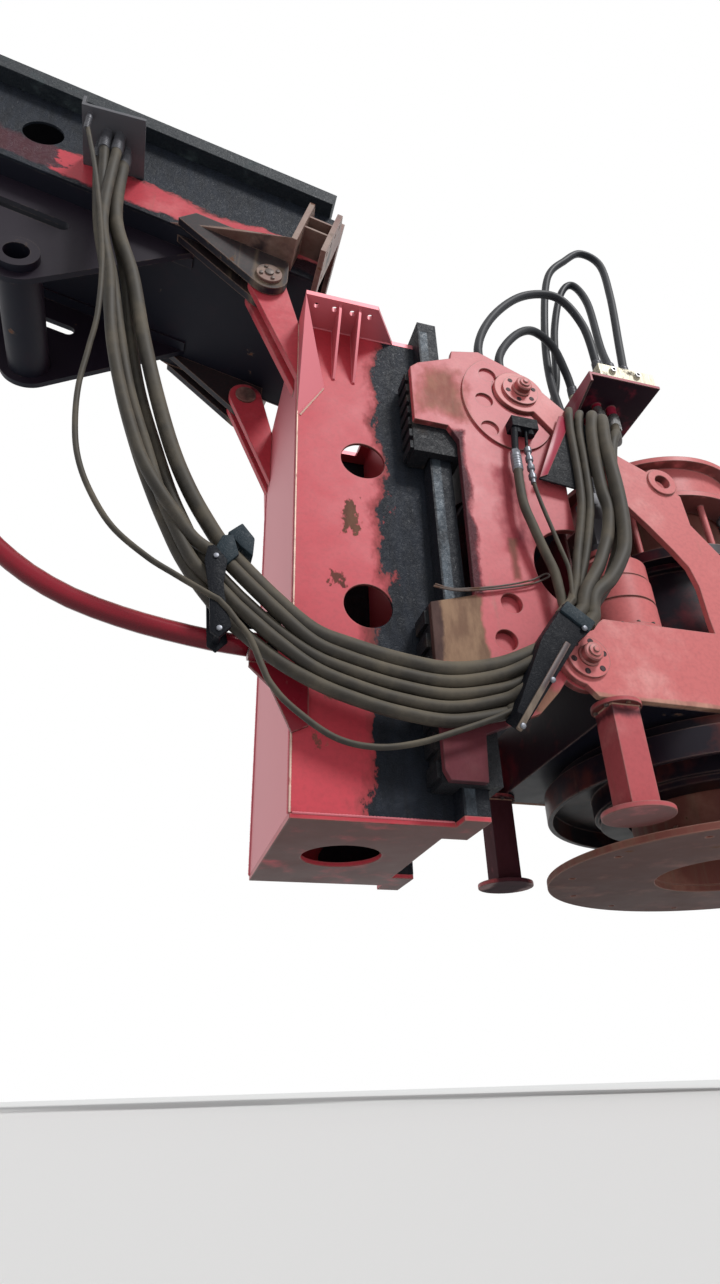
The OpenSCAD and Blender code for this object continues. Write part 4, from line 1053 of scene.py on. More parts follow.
@dataclass(frozen=True)
class PhotoCamera:
    """Camera at the photograph's place: low, looking up at the mast end."""

    place: tuple[float, float, float] = (-462.9, -2880.0, -777.1)
    pitch: float = math.radians(30.206)
    yaw: float = math.radians(16.547)
    roll: float = math.radians(1.777)
    lens: float = 21.55

    def build(self) -> bpy.types.Object:
        """Add the camera and make it the scene's own."""
        right = Vector((math.cos(self.yaw), -math.sin(self.yaw), 0.0))
        ahead = Vector((math.sin(self.yaw) * math.cos(self.pitch),
                        math.cos(self.yaw) * math.cos(self.pitch), math.sin(self.pitch)))
        up = right.cross(ahead)
        x_axis = math.cos(self.roll) * right - math.sin(self.roll) * up
        y_axis = math.sin(self.roll) * right + math.cos(self.roll) * up
        lens = bpy.data.cameras.new("photo_camera")
        lens.lens = self.lens
        lens.sensor_width = 36.0
        lens.clip_start = 0.05
        camera = bpy.data.objects.new("photo_camera", lens)
        turn = Matrix((x_axis, y_axis, -ahead)).transposed().to_4x4()
        camera.matrix_world = Matrix.Translation(at(*self.place)) @ turn
        bpy.context.scene.collection.objects.link(camera)
        bpy.context.scene.camera = camera
        return camera


@dataclass(frozen=True)
class Studio:
    """Pale floor at the camera's level, white surround and soft light from the upper right."""

    floor_z: float = -3.47
    floor_size: float = 60.0
    sun_power: float = 2.35
    sun_from: tuple[float, float, float] = (0.38, -0.78, 0.82)
    sky_power: float = 0.42

    def build(self) -> None:
        """Add floor, lamp and world."""
        scene = bpy.context.scene
        scene.view_settings.view_transform = "Standard"
        bm = bmesh.new()
        bmesh.ops.create_grid(bm, x_segments=8, y_segments=8, size=self.floor_size / 2)
        bmesh.ops.translate(bm, verts=bm.verts, vec=(1.5, 0.0, self.floor_z))
        mesh = bpy.data.meshes.new("studio_floor")
        bm.to_mesh(mesh)
        bm.free()
        floor = bpy.data.objects.new("studio_floor", mesh)
        scene.collection.objects.link(floor)
        paper = bpy.data.materials.new("pale_floor")
        paper.use_nodes = True
        shader = paper.node_tree.nodes["Principled BSDF"]
        shader.inputs["Base Color"].default_value = (0.80, 0.80, 0.79, 1.0)
        shader.inputs["Roughness"].default_value = 0.9
        mesh.materials.append(paper)
        lamp = bpy.data.lights.new("soft_sun", "SUN")
        lamp.energy = self.sun_power
        lamp.angle = math.radians(14.0)
        sun = bpy.data.objects.new("soft_sun", lamp)
        toward = Vector(self.sun_from)
        sun.matrix_world = turned_to(toward, toward * 8.0)
        scene.collection.objects.link(sun)
        world = bpy.data.worlds.new("studio_world")
        scene.world = world
        world.use_nodes = True
        world.node_tree.nodes.clear()
        g = Graph(world.node_tree)
        rays = g.add("LightPath").outputs
        seen = g.plus(g.plus(rays["Is Camera Ray"], rays["Is Glossy Ray"]),
                      rays["Is Transmission Ray"])
        soft = g.add("Background", {"Color": (0.96, 0.98, 1.0), "Strength": self.sky_power})
        white = g.add("Background", {"Color": (1.0, 1.0, 1.0), "Strength": 1.0})
        both = g.add("MixShader", {0: seen, 1: soft.outputs[0], 2: white.outputs[0]})
        g.add("OutputWorld", {"Surface": both.outputs[0]})


# ---- hoses ----


@dataclass(frozen=True)
class HoseRoutes:
    """Routes of the hose bundle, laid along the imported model's hoses."""

    radii: tuple[float, ...] = (31.0, 25.0, 24.0, 24.0, 25.0)
    thin_radius: float = 11.0
    clamp1: tuple = (-247, -566, 922, -5, -63, 28)
    clamp2: tuple = (935, -655, 662, -36, -65.5, 34)
    clamp1_way: Vector = Vector((0.70, 0.0, -0.714)).normalized()
    clamp2_way: Vector = Vector((0.77, 0.0, 0.638)).normalized()
    thin1: Vector = Vector((-262, -640, 650))
    thin2: Vector = Vector((790, -672, 386))
    bulkhead: tuple = (-925, -560, 3350, -30, 0, 62)
    thin_top: Vector = Vector((-1095, -690, 3300))
    drops: tuple = (
        ((-898, -590, 2743), (-779, -590, 2360), (-696, -590, 2003), (-609, -588, 1680),
         (-516, -585, 1388), (-429, -580, 1189), (-335, -572, 1030)),
        ((-943, -642, 2653), (-864, -645, 2262), (-810, -645, 1908), (-733, -642, 1595),
         (-638, -636, 1315), (-573, -630, 1187), (-489, -618, 1068), (-398, -605, 954)),
        ((-915, -540, 2794), (-812, -536, 2397), (-745, -532, 2030), (-668, -532, 1703),
         (-572, -536, 1409), (-500, -542, 1205), (-441, -548, 1070), (-372, -556, 931)),
        ((-955, -590, 2711), (-858, -590, 2320), (-783, -590, 1964), (-704, -590, 1643),
         (-608, -592, 1356), (-540, -594, 1157), (-478, -594, 1020), (-396, -595, 865)),
        ((-982, -540, 2775), (-893, -540, 2376), (-820, -540, 2013), (-742, -541, 1686),
         (-648, -544, 1394), (-566, -548, 1180), (-500, -552, 1030), (-440, -558, 905),
         (-368, -564, 790)))
    loop: tuple = ((-95, -574, 764, 2, -62, 24), (45, -588, 640, 0, -51, 8),
                   (175, -600, 589, 0, -51.5, 2), (355, -610, 545, -3, -51.5, 0),
                   (545, -620, 524, -3, -51, 2), (735, -640, 556, -4, -50, 14))
    thin_drop: tuple = ((-1000, -705, 2850), (-905, -700, 2350), (-868, -690, 1969),
                        (-875, -670, 1756), (-883, -660, 1560), (-869, -655, 1381),
                        (-837, -655, 1218), (-776, -655, 1069), (-680, -655, 921),
                        (-553, -655, 815), (-452, -650, 760), (-352, -645, 710))
    thin_loop: tuple = ((-185, -655, 539), (-141, -655, 438), (-109, -655, 375),
                        (-38, -655, 299), (101, -655, 207), (241, -655, 184),
                        (388, -655, 211), (545, -655, 271), (668, -662, 322))
    exits: tuple = ((0, 1), (0, 0), (1, 1), (1, 0), (2, 1), (2, 0), (2, 2))
    exit_way: Vector = Vector((0.62, 0.0, 0.78))
    risers: tuple = (
        (((1146, -714, 873), (1236, -714, 966), (1302, -714, 1064), (1348, -712, 1160),
          (1372, -712, 1290), (1383, -712, 1449), (1386, -708, 1623), (1392, -700, 1770),
          (1412, -690, 1900), (1455, -640, 1990), (1540, -520, 2080), (1650, -390, 2210)),
         (1710, -330, 2400), 30),
        (((1175, -664, 867), (1252, -658, 971), (1315, -655, 1092), (1360, -655, 1200),
          (1391, -655, 1320), (1412, -655, 1498), (1431, -655, 1639), (1462, -655, 1790),
          (1510, -645, 1905), (1590, -560, 1985), (1700, -430, 2110)), (1800, -330, 2400), 24),
        (((1117, -714, 898), (1200, -700, 1024), (1256, -690, 1129), (1306, -682, 1243),
          (1337, -680, 1375), (1330, -680, 1470), (1330, -680, 1560), (1336, -680, 1700),
          (1350, -680, 1850), (1380, -670, 1960), (1440, -590, 2050), (1560, -430, 2140),
          (1680, -270, 2230)), (1720, -225, 2400), 27),
        (((1095, -655, 860), (1140, -650, 980), (1193, -650, 1123), (1243, -650, 1294),
          (1274, -650, 1428), (1288, -650, 1568), (1296, -650, 1700), (1302, -650, 1850),
          (1320, -650, 1960), (1370, -600, 2040), (1500, -400, 2130), (1660, -200, 2220)),
         (1740, -120, 2400), 20),
        (((1050, -700, 845), (1106, -670, 961), (1154, -652, 1116), (1201, -650, 1287),
          (1232, -650, 1421), (1246, -650, 1561), (1252, -650, 1700), (1258, -650, 1860),
          (1272, -648, 1980), (1320, -590, 2060), (1430, -420, 2150), (1560, -270, 2230)),
         (1625, -215, 2400), 19),
        (((1040, -655, 860), (1035, -655, 935), (1028, -655, 1015), (1001, -655, 1110),
          (967, -655, 1240), (940, -655, 1369)), (948, -645, 1640), 20),
        (((1060, -700, 880), (1074, -690, 1009), (1060, -680, 1122), (1045, -665, 1248),
          (1028, -650, 1387), (1014, -645, 1514)), (1014, -645, 1706), 9))

    arch_radius: float = 23.0
    arches: tuple = (
        ((1000, -500, 2190), ((925, -500, 2480), (1044, -480, 2810), (1281, -460, 3110),
                              (1526, -450, 3200), (1662, -445, 3000)), (1690, -440, 2626)),
        ((1085, -480, 2190), ((1050, -480, 2480), (1180, -450, 2740), (1330, -420, 2880),
                              (1480, -370, 2860), (1570, -320, 2720)), (1600, -300, 2550)),
        ((1506, -395, 1725), ((1480, -330, 2300), (1495, -270, 2750), (1540, -270, 3200),
                              (1625, -290, 3650), (1770, -310, 3850), (1900, -320, 3960),
                              (2010, -340, 3850), (1990, -370, 3480), (1910, -410, 2950)),
         (1860, -440, 2626)),
        ((1454, -395, 1725), ((1430, -300, 2200), (1500, -215, 2480), (1585, -205, 2800),
                              (1650, -205, 3250), (1735, -235, 3590), (1825, -255, 3690),
                              (1875, -290, 3480), (1815, -365, 2950)), (1770, -440, 2626)))

    @staticmethod
    def station(s: tuple, k: int) -> Vector:
        """Return the place of hose k at a station."""
        return Vector((s[0] + s[3] * k, s[1] - s[5] * (k % 2), s[2] + s[4] * k))

    def exit(self, k: int) -> Vector:
        """Return where riser k leaves the clamp block."""
        column, row = self.exits[k]
        return Vector((1090 - 40 * column, -664 - 50 * row + 38 * (row // 2),
                       735 + 32 * column))

    @staticmethod
    def run(a: Vector, a_way: Vector, between: tuple, b: Vector, b_way: Vector,
            count: int = 8, straight: float = 50.0) -> PATH:
        """Return a hose's line in metres.

        Args:
            a: Its start.
            a_way: Direction in which it leaves.
            between: Points on the way.
            b: Its end.
            b_way: Direction in which it arrives.
            count: Steps between two points.
            straight: Length that runs straight at both ends.

        Returns:
            The line's points.
        """
        route = smooth_route([a + a_way * straight, *between, b - b_way * straight], count)
        return [at(*p) for p in [a] + route + [b]]

    def drop_runs(self) -> list[tuple[PATH, float]]:
        """Return the lines from the bulkhead to the upper clamp."""
        runs = [(self.run(self.station(self.bulkhead, k) + DOWN * 60, DOWN, points,
                          self.station(self.clamp1, k), self.clamp1_way), self.radii[k] * 0.001)
                for k, points in enumerate(self.drops)]
        return runs + [(self.run(self.thin_top, DOWN, self.thin_drop, self.thin1,
                                 self.clamp1_way), self.thin_radius * 0.001)]

    def loop_runs(self) -> list[tuple[PATH, float]]:
        """Return the lines of the sagging loop from the upper to the lower clamp."""
        runs = [(self.run(self.station(self.clamp1, k), self.clamp1_way,
                          tuple(self.station(s, k) for s in self.loop),
                          self.station(self.clamp2, k), self.clamp2_way),
                 radius * 0.001) for k, radius in enumerate(self.radii)]
        return runs + [(self.run(self.thin1, Vector((0.6, 0.0, -0.8)), self.thin_loop, self.thin2,
                                 Vector((0.85, 0.0, 0.53))), self.thin_radius * 0.001)]

    def riser_runs(self) -> list[tuple[PATH, float]]:
        """Return the lines from the lower clamp up to the shelf and the small manifold."""
        return [(self.run(self.exit(k), self.exit_way, points, Vector(end), UP), radius * 0.001)
                for k, (points, end, radius) in enumerate(self.risers)]

    def motor_runs(self) -> list[tuple[PATH, float]]:
        """Return the arches from the sledge head and the near motor to the block."""
        return [(self.run(Vector(a), UP, points, Vector(b), DOWN, 10), self.arch_radius * 0.001)
                for a, points, b in self.arches]


@dataclass
class HoseBundle:
    """Smooth hoses with their crimped ends."""

    shop: Workshop
    routes: HoseRoutes = field(default_factory=HoseRoutes)
    port_yz: tuple[float, float] = (-643, 1822)

    def build(self) -> None:
        """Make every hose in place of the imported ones, and its ferrules."""
        r = self.routes
        drop = self.shop.tubes("dropping_hoses", r.drop_runs(), Look.HOSE, None, "hose_rubber")
        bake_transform(drop)
        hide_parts("drop_hoses")
        loop = self.shop.tubes("sagging_loop_hoses", r.loop_runs(), Look.HOSE, None,
                               "hose_rubber")
        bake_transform(loop)
        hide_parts("loop_hoses")
        riser = self.shop.tubes("rising_hoses", r.riser_runs(), Look.HOSE, "sledge",
                                "hose_rubber")
        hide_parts("riser_hoses")
        arches = self.shop.tubes("motor_arch_hoses", r.motor_runs(), Look.DARK_HOSE, "sledge",
                                 "hose_rubber")
        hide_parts("motor_hoses")
        for node in ("drop_hoses", "loop_hoses", "riser_hoses", "motor_hoses"):
            self.shop.nodes.pop(node)
        self.crimps()

    def crimp(self, piece: Piece, place: Vector, way: Vector, radius: float,
              length: float) -> None:
        """Add a crimped ferrule with its hexagon nut.

        Args:
            piece: Piece that takes it.
            place: End of the hose, in metres.
            way: Direction from the hose's end back along the hose.
            radius: Radius of the hose.
            length: Length of the ferrule.
        """
        outer = radius + 0.0045
        profile = [(0.0, 0.0), (radius * 0.8, 0.0), (outer - 0.001, 0.002)]
        for i in range(5):
            low = length * (0.12 + 0.16 * i)
            profile += [(outer, low), (outer, low + length * 0.07),
                        (outer - 0.002, low + length * 0.09), (outer - 0.002, low + length * 0.14)]
        profile += [(outer, length * 0.93), (outer - 0.002, length), (0.0, length)]
        piece.turned(place, way, profile, 28)
        piece.prism(place - way.normalized() * 0.022, way, radius * 1.12, 0.024, 6, 0.002)

    def crimps(self) -> None:
        """Make the ferrules: at both ends of the arches, and where the other hoses end on top."""
        arches = Piece("arch_hose_ends")
        for path, radius in self.routes.motor_runs():
            self.crimp(arches, path[0], path[1] - path[0], radius, 0.075)
            self.crimp(arches, path[-1], path[-2] - path[-1], radius, 0.075)
        arches.finish(Look.DARK, "sledge", "dark_steel", self.shop)
        *thick, (wide, r1), (slim, r2) = self.routes.riser_runs()
        risers = Piece("riser_hose_ends")
        for path, radius in thick:
            outer = radius + 0.008
            risers.turned(path[-1] + UP * 0.055, DOWN,
                          [(0.0, 0.0), (outer * 0.7, 0.0), (outer * 0.7, 0.03),
                           (outer * 0.94, 0.04), (outer, 0.05), (outer, 0.118),
                           (outer - 0.003, 0.122), (outer, 0.128), (outer, 0.142),
                           (outer - 0.004, 0.150), (0.0, 0.150)], 32)
        risers.finish(Look.FITTING, "sledge", "bright_steel", self.shop)
        small = Piece("small_hose_ends")
        self.crimp(small, wide[-1], DOWN, r1, 0.095)
        for i in range(4):
            small.turned(slim[-1] + DOWN * (0.012 + 0.052 * i), DOWN,
                         [(0.0, 0.0), (r2 + 0.008, 0.002), (r2 + 0.008, 0.024),
                          (r2 + 0.002, 0.028), (r2 + 0.003, 0.050), (0.0, 0.051)], 20)
        small.finish(Look.RING, "sledge", "bright_steel", self.shop)
        ports = Piece("small_hose_ports")
        for path, radius, x in ((wide, r1, 968), (slim, r2, 1024)):
            way = at(x, *self.port_yz) - path[-1]
            ports.prism(path[-1], way, radius * 0.8, way.length, 16)
        ports.finish(Look.BLACK, "sledge", "dark_steel", self.shop)
        top = Piece("drop_hose_ends")
        for path, radius in self.routes.drop_runs():
            self.crimp(top, path[0], path[1] - path[0], radius, 0.08)
        top.finish(Look.DARK, "mid_mast", "dark_steel", self.shop)


@dataclass
class HoseClamps:
    """Plates, blocks and bars that hold the hose bundle on the mast and on the sledge."""

    shop: Workshop
    cover: tuple = ((-357, 849), (-349, 909), (-326, 918), (-277, 858), (-284, 758), (-279, 713),
                    (-247, 585), (-286, 540), (-318, 561), (-331, 720))
    arm: tuple = ((-310, 640), (-60, 664), (-60, 730), (-310, 740))
    link: tuple = ((-326, 905), (-277, 850), (-236, 900), (-262, 985), (-300, 975))
    head: tuple = ((-281, 1009), (-229, 1062), (-180, 999), (-184, 915), (-233, 956))
    block: tuple = ((1103, 725), (1065, 677), (959, 761), (997, 809))
    guard: tuple = ((959, 761), (1065, 677), (1020, 640), (765, 292), (722, 322), (868, 636))
    bar: tuple = ((974, 611), (725, 244), (707, 256), (956, 623))

    upper_y: tuple[float, float] = (-640, -622)
    lower_y: float = -742.0

    def build(self) -> None:
        """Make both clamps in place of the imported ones."""
        self.upper()
        self.lower()
        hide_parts("lower_hose_clamp")
        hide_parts("upper_hose_clamp")
        for node in ("lower_hose_clamp", "upper_hose_clamp"):
            self.shop.nodes.pop(node)

    def upper(self) -> None:
        """Make the clamp on the stay's bracket: cover, back plate, arm, head block."""
        plates = Piece("upper_clamp_plates")
        plates.sheet(self.cover, *self.upper_y)
        plates.sheet(self.cover, -534, -522)
        plates.sheet(self.arm, -533, -521)
        plates.slab(at(-82, -503, 660), (0.036, 0.038, 0.122))
        plates.prism(at(-287, -624, 580), -NEAR, 0.013, 0.094, 16)
        plates.finish(Look.BLACK, "lower_mast", "dark_steel", self.shop)
        head = Piece("upper_clamp_head")
        head.sheet(self.head, -606, -524, 0.006)
        head.sheet(self.link, -628, -610, 0.004)
        head.finish(Look.TEAL, "lower_mast", "dark_steel", self.shop)
        bolts = Piece("upper_clamp_bolts")
        for x, z in ((-318, 868), (-288, 572)):
            bolts.prism(at(x, self.upper_y[0], z), NEAR, 0.010, 0.007, 20, 0.002)
        bolts.finish(Look.RING, "lower_mast", "bright_steel", self.shop)

    def lower(self) -> None:
        """Make the clamp on the sledge: block, a near-black guard behind the hose ends as painted
        shade, thin bar.
        """
        # Painted shade: near-black sheet and stubs behind the hose ends stand for the shade behind
        # the clamp.
        dark = Piece("lower_clamp_shade_guard")
        dark.sheet(self.guard, -646, self.lower_y, 0.004)
        for x, z in ((930, 600), (850, 470), (975, 690)):
            dark.prism(at(x, -648, z), -NEAR, 0.034, 0.050, 24)
        dark.finish(Look.BLACK, "sledge", "dark_steel", self.shop)
        block = Piece("lower_clamp_block")
        block.sheet(self.block, -640, self.lower_y - 10, 0.006)
        block.finish(Look.TEAL, "sledge", "dark_steel", self.shop)
        bar = Piece("lower_clamp_bar")
        bar.sheet(self.bar, self.lower_y + 2, self.lower_y - 12)
        bar.finish(Look.BAR, "sledge", "worn_paint", self.shop)
        bolts = Piece("lower_clamp_bolts")
        for x, y, z in ((873, -752, 452), (730, -752, 262), (1046, -750, 690)):
            bolts.turned(at(x, y, z), NEAR, [(0.0, 0.0), (0.011, 0.0), (0.011, 0.005),
                                             (0.008, 0.009), (0.0, 0.011)], 20)
        bolts.finish(Look.RING, "sledge", "bright_steel", self.shop)


# ---- mast ----


@dataclass
class MastTrim:
    """Finishes, weld beads and keeper bolts of the two mast sections."""

    shop: Workshop
    width: float = 880.0
    depth: float = 590.0
    height: float = 2474.0
    foot: float = 20.0
    gusset: tuple[float, float, float] = (62.5, 125.0, 412.0)
    gusset_drop: float = 618.0
    ribs: tuple[float, ...] = (165, 177, 262, 274)
    rib_drop: float = 344.0
    keeper_y: float = 502.0
    keeper_ring: float = 44.0

    def build(self) -> None:
        """Dress the mast's nodes and add its trim."""
        for node, look, edge in (
                ("mid_mast_sides", Look.MID_WALL, 0.003),
                ("mid_mast_front_rear", Look.HIDDEN_RED, 0.003),
                ("mid_mast_flanges", Look.TAN, 0.003), ("mid_mast_ears", Look.EAR, 0.004),
                ("mid_guide_rails", Look.MID_RAIL, 0.003),
                ("mast_carrier", Look.HIDDEN_RED, 0.004), ("hinge_pins", Look.TAN, 0.003),
                ("hose_bulkhead", Look.DARK, 0.002),
                ("lower_mast_sides", Look.WALL, 0.003), ("lower_mast_front_rear", Look.RED, 0.003),
                ("lower_mast_foot", Look.FOOT_RED, 0.003), ("lower_mast_flange", Look.RED, 0.003),
                ("lower_mast_lugs", Look.LUG_RED, 0.004), ("lower_guide_rails", Look.RAIL, 0.004),
                ("stay_tube", Look.STAY, 0.0), ("stay_tube_bracket", Look.STAY, 0.003),
                ("feed_cylinder_barrel", Look.HIDDEN_RED, 0.002),
                ("feed_cylinder_bracket", Look.HIDDEN_RED, 0.003),
                ("feed_cylinder_pins", Look.STEEL, 0.002)):
            self.shop.dress(node, look, edge)
        self.lower_welds()
        self.bolts()

    def lower_welds(self) -> None:
        """Lay the beads along the lower mast's corners, foot and gussets."""
        runs, worn = [], []
        top, (lean, reach, drop) = self.height, self.gusset
        knee, tip = top - drop, top - self.gusset_drop
        for side in SIDES:
            y = side * self.width / 2
            inner = y - side * 14
            runs += [weld_line([(-2, inner, self.foot), (-2, inner, top)], 0.0048, 3),
                     weld_line([(10, y, self.foot), (self.depth - 4, y, self.foot)], 0.004, 5),
                     weld_line([(0, y, tip), (reach, y, knee)], 0.005, 7),
                     weld_line([(reach, y, knee), (lean, y, top)], 0.004, 8)]
            for x in self.ribs:
                runs.append(weld_line([(x, y, top - self.rib_drop), (x, y, top)], 0.0035, 9))
            runs.append(weld_line([(70, y, top - 1), (470, y, top - 1)], 0.005, 11))
            edge = y + side * 0.5
            worn += [weld_line([(1, edge, self.foot), (1, edge, top)], 0.0042, 13),
                     weld_line([(13, y, tip), (reach, y, knee)], 0.0048, 17)]
        self.shop.tubes("lower_mast_welds", runs, Look.RED, "lower_mast", "red_paint", 1)
        self.shop.tubes("worn_corner_welds", worn, Look.WELD, "lower_mast", "worn_paint", 1)

    def bolts(self) -> None:
        """Seat the bolts of the hinge pins' keepers."""
        keepers = Piece("hinge_pin_bolts")
        x, z, ring, face = HINGE.x, HINGE.z, self.keeper_ring, self.keeper_y
        for side in SIDES:
            way = Vector((0, side, 0))
            for i in range(4):
                a = math.tau * i / 4 + 0.4
                keepers.bolt(at(x + ring * math.cos(a), side * face, z + ring * math.sin(a)),
                             way, 0.022, False)
            keepers.prism(at(x, side * face, z), way, 0.022, 0.008, 24, 0.002)
        keepers.finish(Look.BOLT, "mid_mast", "worn_paint", self.shop)


# ---- sledge and drive ----


@dataclass
class SledgeTrim:
    """Finishes and trim of the feed sledge: pin covers, wire, inner plates and shelf."""

    shop: Workshop
    pins: tuple = ((1045.0, 2095.0), (1125.0, 646.0))
    pin_face: float = 632.0
    slot_ring: float = 70.0
    cuts: tuple = ((852, 876), (807, 700))
    cut_depth: float = 553.0
    wire_line: tuple = (
        (522, -608, 903), (591, -608, 892), (668, -608, 905), (800, -608, 938),
        (938, -610, 985), (1012, -612, 1028), (1028, -614, 1020), (1008, -612, 1004),
        (938, -610, 968), (800, -608, 927), (668, -610, 895), (591, -611, 884),
        (515, -608, 893))

    def build(self) -> None:
        """Dress the sledge's nodes and add its trim."""
        for node, look, edge in (
                ("sledge_side_plates", Look.SLEDGE_RED, 0.004),
                ("sledge_doublers", Look.SLEDGE_RED, 0.003),
                ("sledge_cross_frame", Look.HIDDEN_RED, 0.003), ("guide_claws", Look.CLAW, 0.004),
                ("feed_cylinder_rod", Look.ROD, 0.002), ("drive_pins", Look.DRIVE_RED, 0.002),
                ("manifold_bracket", Look.SHELF_RED, 0.003),
                ("manifold_block", Look.PALE, 0.003), ("small_manifold", Look.BLACK, 0.003)):
            self.shop.dress(node, look, edge)
        self.wire()
        self.pin_covers()
        self.inner_plates()
        self.manifold_trim()

    def wire(self) -> None:
        """Tie a two-stranded wire with an end loop over the sledge plate."""
        line = [at(*p) for p in smooth_route(self.wire_line, 6)]
        self.shop.tubes("tying_wire", [(line, 0.0042)], Look.BOLT, "sledge", "dark_steel", 2)

    def pin_covers(self) -> None:
        """Put a stepped boss on each drive pin, and near-black discs on its disc's holes as
        painted shade in them.
        """
        bosses, slot_shades = Piece("pin_covers"), Piece("pin_cover_slot_shades")
        for side in SIDES:
            way = Vector((0, side, 0))
            for x, z in self.pins:
                bosses.turned(at(x, side * self.pin_face, z), way,
                              [(0.0, 0.0), (0.047, 0.0), (0.047, 0.010), (0.041, 0.014),
                               (0.041, 0.040), (0.036, 0.045), (0.026, 0.046), (0.026, 0.054),
                               (0.013, 0.056), (0.012, 0.062), (0.0, 0.063)], 36)
                # Painted shade: near-black discs just proud of the face stand for the shaded
                # insides of the holes.
                for i in range(6):
                    a = math.radians(15 + 60 * i)
                    slot_shades.turned(at(x + self.slot_ring * math.cos(a), side * (self.pin_face + 2),
                                    z + self.slot_ring * math.sin(a)), way,
                                 [(0.0, 0.0), (0.0125, 0.0), (0.0125, 0.0012), (0.0, 0.0016)], 18)
        bosses.finish(Look.DRIVE_RED, "sledge", "red_paint", self.shop)
        slot_shades.finish(Look.HOLE_SHADE, "sledge", "dark_steel", self.shop)

    def inner_plates(self) -> None:
        """Close the view through the sledge: plates behind its hole and its round cuts."""
        plates = Piece("sledge_inner_plates")
        plates.slab(at(990, 0, 1700), (0.008, 0.36, 0.36), 0.002)
        plates.slab(at(1202, 0, 1190), (0.010, 1.06, 0.52), 0.002)
        plates.finish(Look.INNER, "sledge", "red_paint", self.shop)
        discs = Piece("sledge_recess_discs")
        for side in SIDES:
            for x, z in self.cuts:
                discs.prism(at(x, side * self.cut_depth, z), Vector((0, side, 0)), 0.058, 0.007,
                            40)
        discs.finish(Look.SLEDGE_RED, "sledge", "red_paint", self.shop)

    def manifold_trim(self) -> None:
        """Add the shelf's web, its gusset on the arm, bolts' sockets and a bracket strip."""
        web = Piece("shelf_wedge_web")
        web.plate([at(1556, y, z) for y, z in ((-524, 2436), (234, 2436), (234, 2215),
                                               (60, 2215))], Vector((0.014, 0, 0)))
        web.sheet(((1020, 1826), (1030, 1842), (1150, 1940), (1156, 1928)), -597, -583, 0.002)
        web.finish(Look.SHELF_RED, "sledge", "red_paint", self.shop)
        # Painted shade: the gusset under the shelf takes the near-black claw finish, standing for
        # the shade under the shelf.
        gusset = Piece("shelf_gusset")
        gusset.sheet(((1052, 1533), (1239, 1512), (1357, 1638), (1499, 1775), (1470, 1900),
                      (1258, 1968)), -627.5, -637.5, 0.002)
        gusset.finish(Look.CLAW, "sledge", "dark_steel", self.shop)
        strip = Piece("shelf_gusset_strip")
        strip.sheet(((1052, 1535), (1096, 1560), (1262, 1905), (1240, 1962), (1218, 1955)),
                    -637.5, -643.5, 0.002)
        strip.finish(Look.SHELF_RED, "sledge", "red_paint", self.shop)
        sockets = Piece("manifold_sockets")
        for x in (1710, 1860):
            sockets.turned(at(x, -526, 2546), NEAR,
                           [(0.0, 0.004), (0.010, 0.004), (0.010, 0.012), (0.017, 0.012),
                            (0.017, 0.002), (0.0, 0.0)], 24)
        sockets.slab(at(1028, -605, 1850), (0.05, 0.05, 0.03), 0.006)
        sockets.finish(Look.FITTING, "sledge", "bright_steel", self.shop)


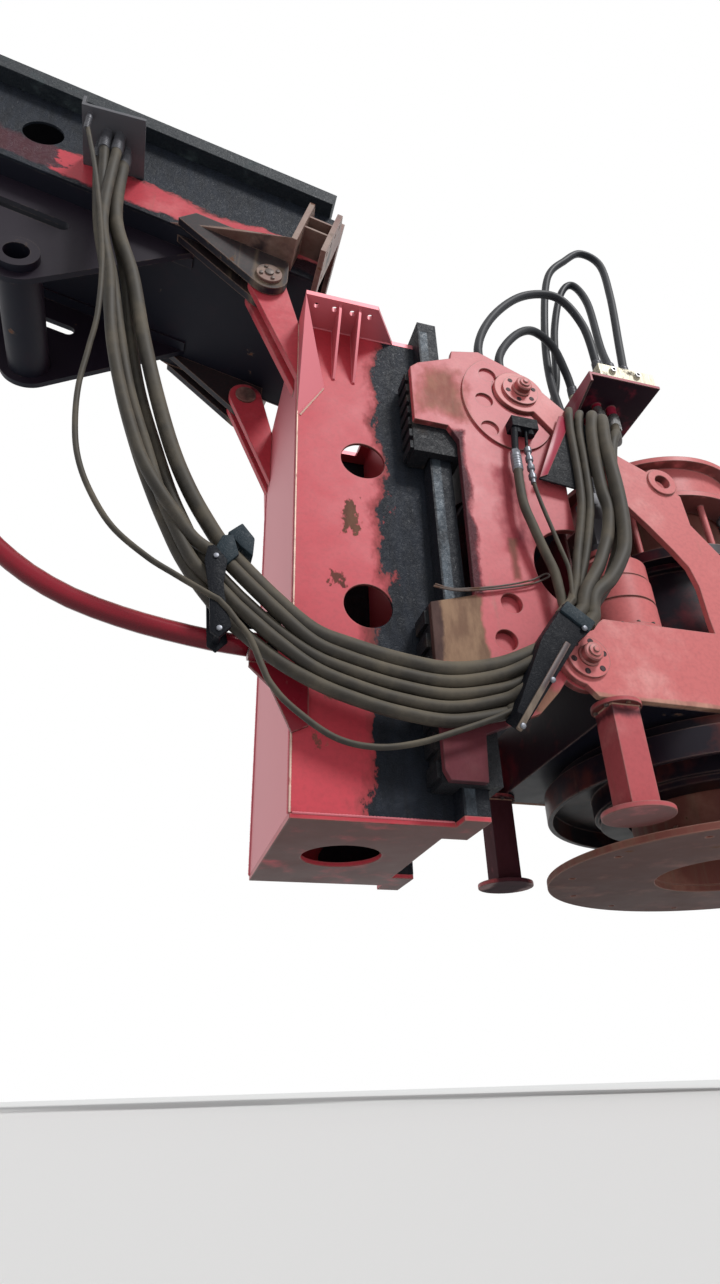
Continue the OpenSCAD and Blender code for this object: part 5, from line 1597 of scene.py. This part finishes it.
@dataclass
class DriveTrim:
    """Finishes, bolts and weld beads of the rotary drive."""

    shop: Workshop
    axis_x: float = 2080.0
    frame_top: float = 845.0
    reducer: tuple[float, float] = (1480.0, 395.0)
    legs_x: tuple[float, float] = (-830, 770)
    leg_y: float = 560.0
    leg_z: float = 460.0
    leg_ring: float = 80.0
    post: float = 60.0
    plate_x: tuple[float, float] = (1240, 1765)
    plate_y: float = 592.0
    cage_z: float = 1760.0
    cage_ring: float = 500.0
    drum_z: float = 420.0
    drum_ring: float = 668.0

    def build(self) -> None:
        """Dress the drive's nodes and add its trim."""
        for node, look, edge in (
                ("drive_side_plates", Look.DRIVE_RED, 0.004),
                ("gearbox_housing", Look.FRAME_RED, 0.004), ("gearbox_drum", Look.DRUM, 0.004),
                ("reducers", Look.DRIVE_RED, 0.003), ("hydraulic_motors", Look.DARK, 0.003),
                ("spring_seat", Look.FRAME_RED, 0.003), ("damper_springs", Look.DARK, 0.0),
                ("spring_cage_ring", Look.DRIVE_RED, 0.003),
                ("support_legs", Look.LEG, 0.003), ("drive_sleeve", Look.DISC, 0.003),
                ("turning_disc", Look.DISC, 0.003)):
            self.shop.dress(node, look, edge)
        self.reducer_bolts()
        self.drive_bolts()
        self.drive_welds()

    def reducer_bolts(self) -> None:
        """Ring each reducer's flanges with bolts."""
        piece = Piece("reducer_bolts")
        x, y = self.reducer
        for side in SIDES:
            for height, ring, count in ((40, 176, 16), (450, 108, 10)):
                piece.bolt_ring(at(x, side * y, self.frame_top + height), UP, ring, count, 0.018)
        piece.finish(Look.BOLT, "sledge", "dark_steel", self.shop)

    def drive_bolts(self) -> None:
        """Bolt the cage ring, the drum and the leg flanges."""
        cage = Piece("cage_ring_bolts")
        cage.bolt_ring(at(self.axis_x, 0, self.cage_z), UP, self.cage_ring, 24, 0.024, True, 0.0)
        cage.bolt_ring(at(self.axis_x, 0, self.drum_z), DOWN, self.drum_ring, 24, 0.026)
        cage.finish(Look.BOLT, "sledge", "dark_steel", self.shop)
        legs = Piece("leg_flange_bolts")
        for dx in self.legs_x:
            for side in SIDES:
                legs.bolt_ring(at(self.axis_x + dx, side * self.leg_y, self.leg_z), DOWN,
                               self.leg_ring, 6, 0.020)
        legs.finish(Look.BOLT, "sledge", "dark_steel", self.shop)

    def drive_welds(self) -> None:
        """Lay beads along the side plates and round the legs' posts."""
        runs = []
        for side in SIDES:
            line = [(x, side * self.plate_y, self.frame_top) for x in self.plate_x]
            runs.append(weld_line(line, 0.005, 21))
            for dx in self.legs_x:
                x, y = self.axis_x + dx, side * self.leg_y
                for z in (61, self.leg_z - 2):
                    ring = [(x + sx * self.post, y + sy * self.post, z)
                            for sx, sy in ((-1, -1), (1, -1), (1, 1), (-1, 1), (-1, -1))]
                    runs.append(weld_line(ring, 0.004, 23))
        self.shop.tubes("drive_welds", runs, Look.DRIVE_RED, "sledge", "red_paint", 1)


def main() -> None:
    """Build the scene in order: camera, hoses, clamps, mast, sledge, drive, studio."""
    logging.basicConfig(level=logging.INFO, format="%(message)s")
    PhotoCamera().build()
    shop = Workshop()
    HoseBundle(shop).build()
    HoseClamps(shop).build()
    MastTrim(shop).build()
    SledgeTrim(shop).build()
    DriveTrim(shop).build()
    Studio().build()
    log.info("%d pieces added, %d nodes left undressed: %s", len(shop.made), len(shop.nodes),
             sorted(shop.nodes))


if __name__ == "__main__":
    main()
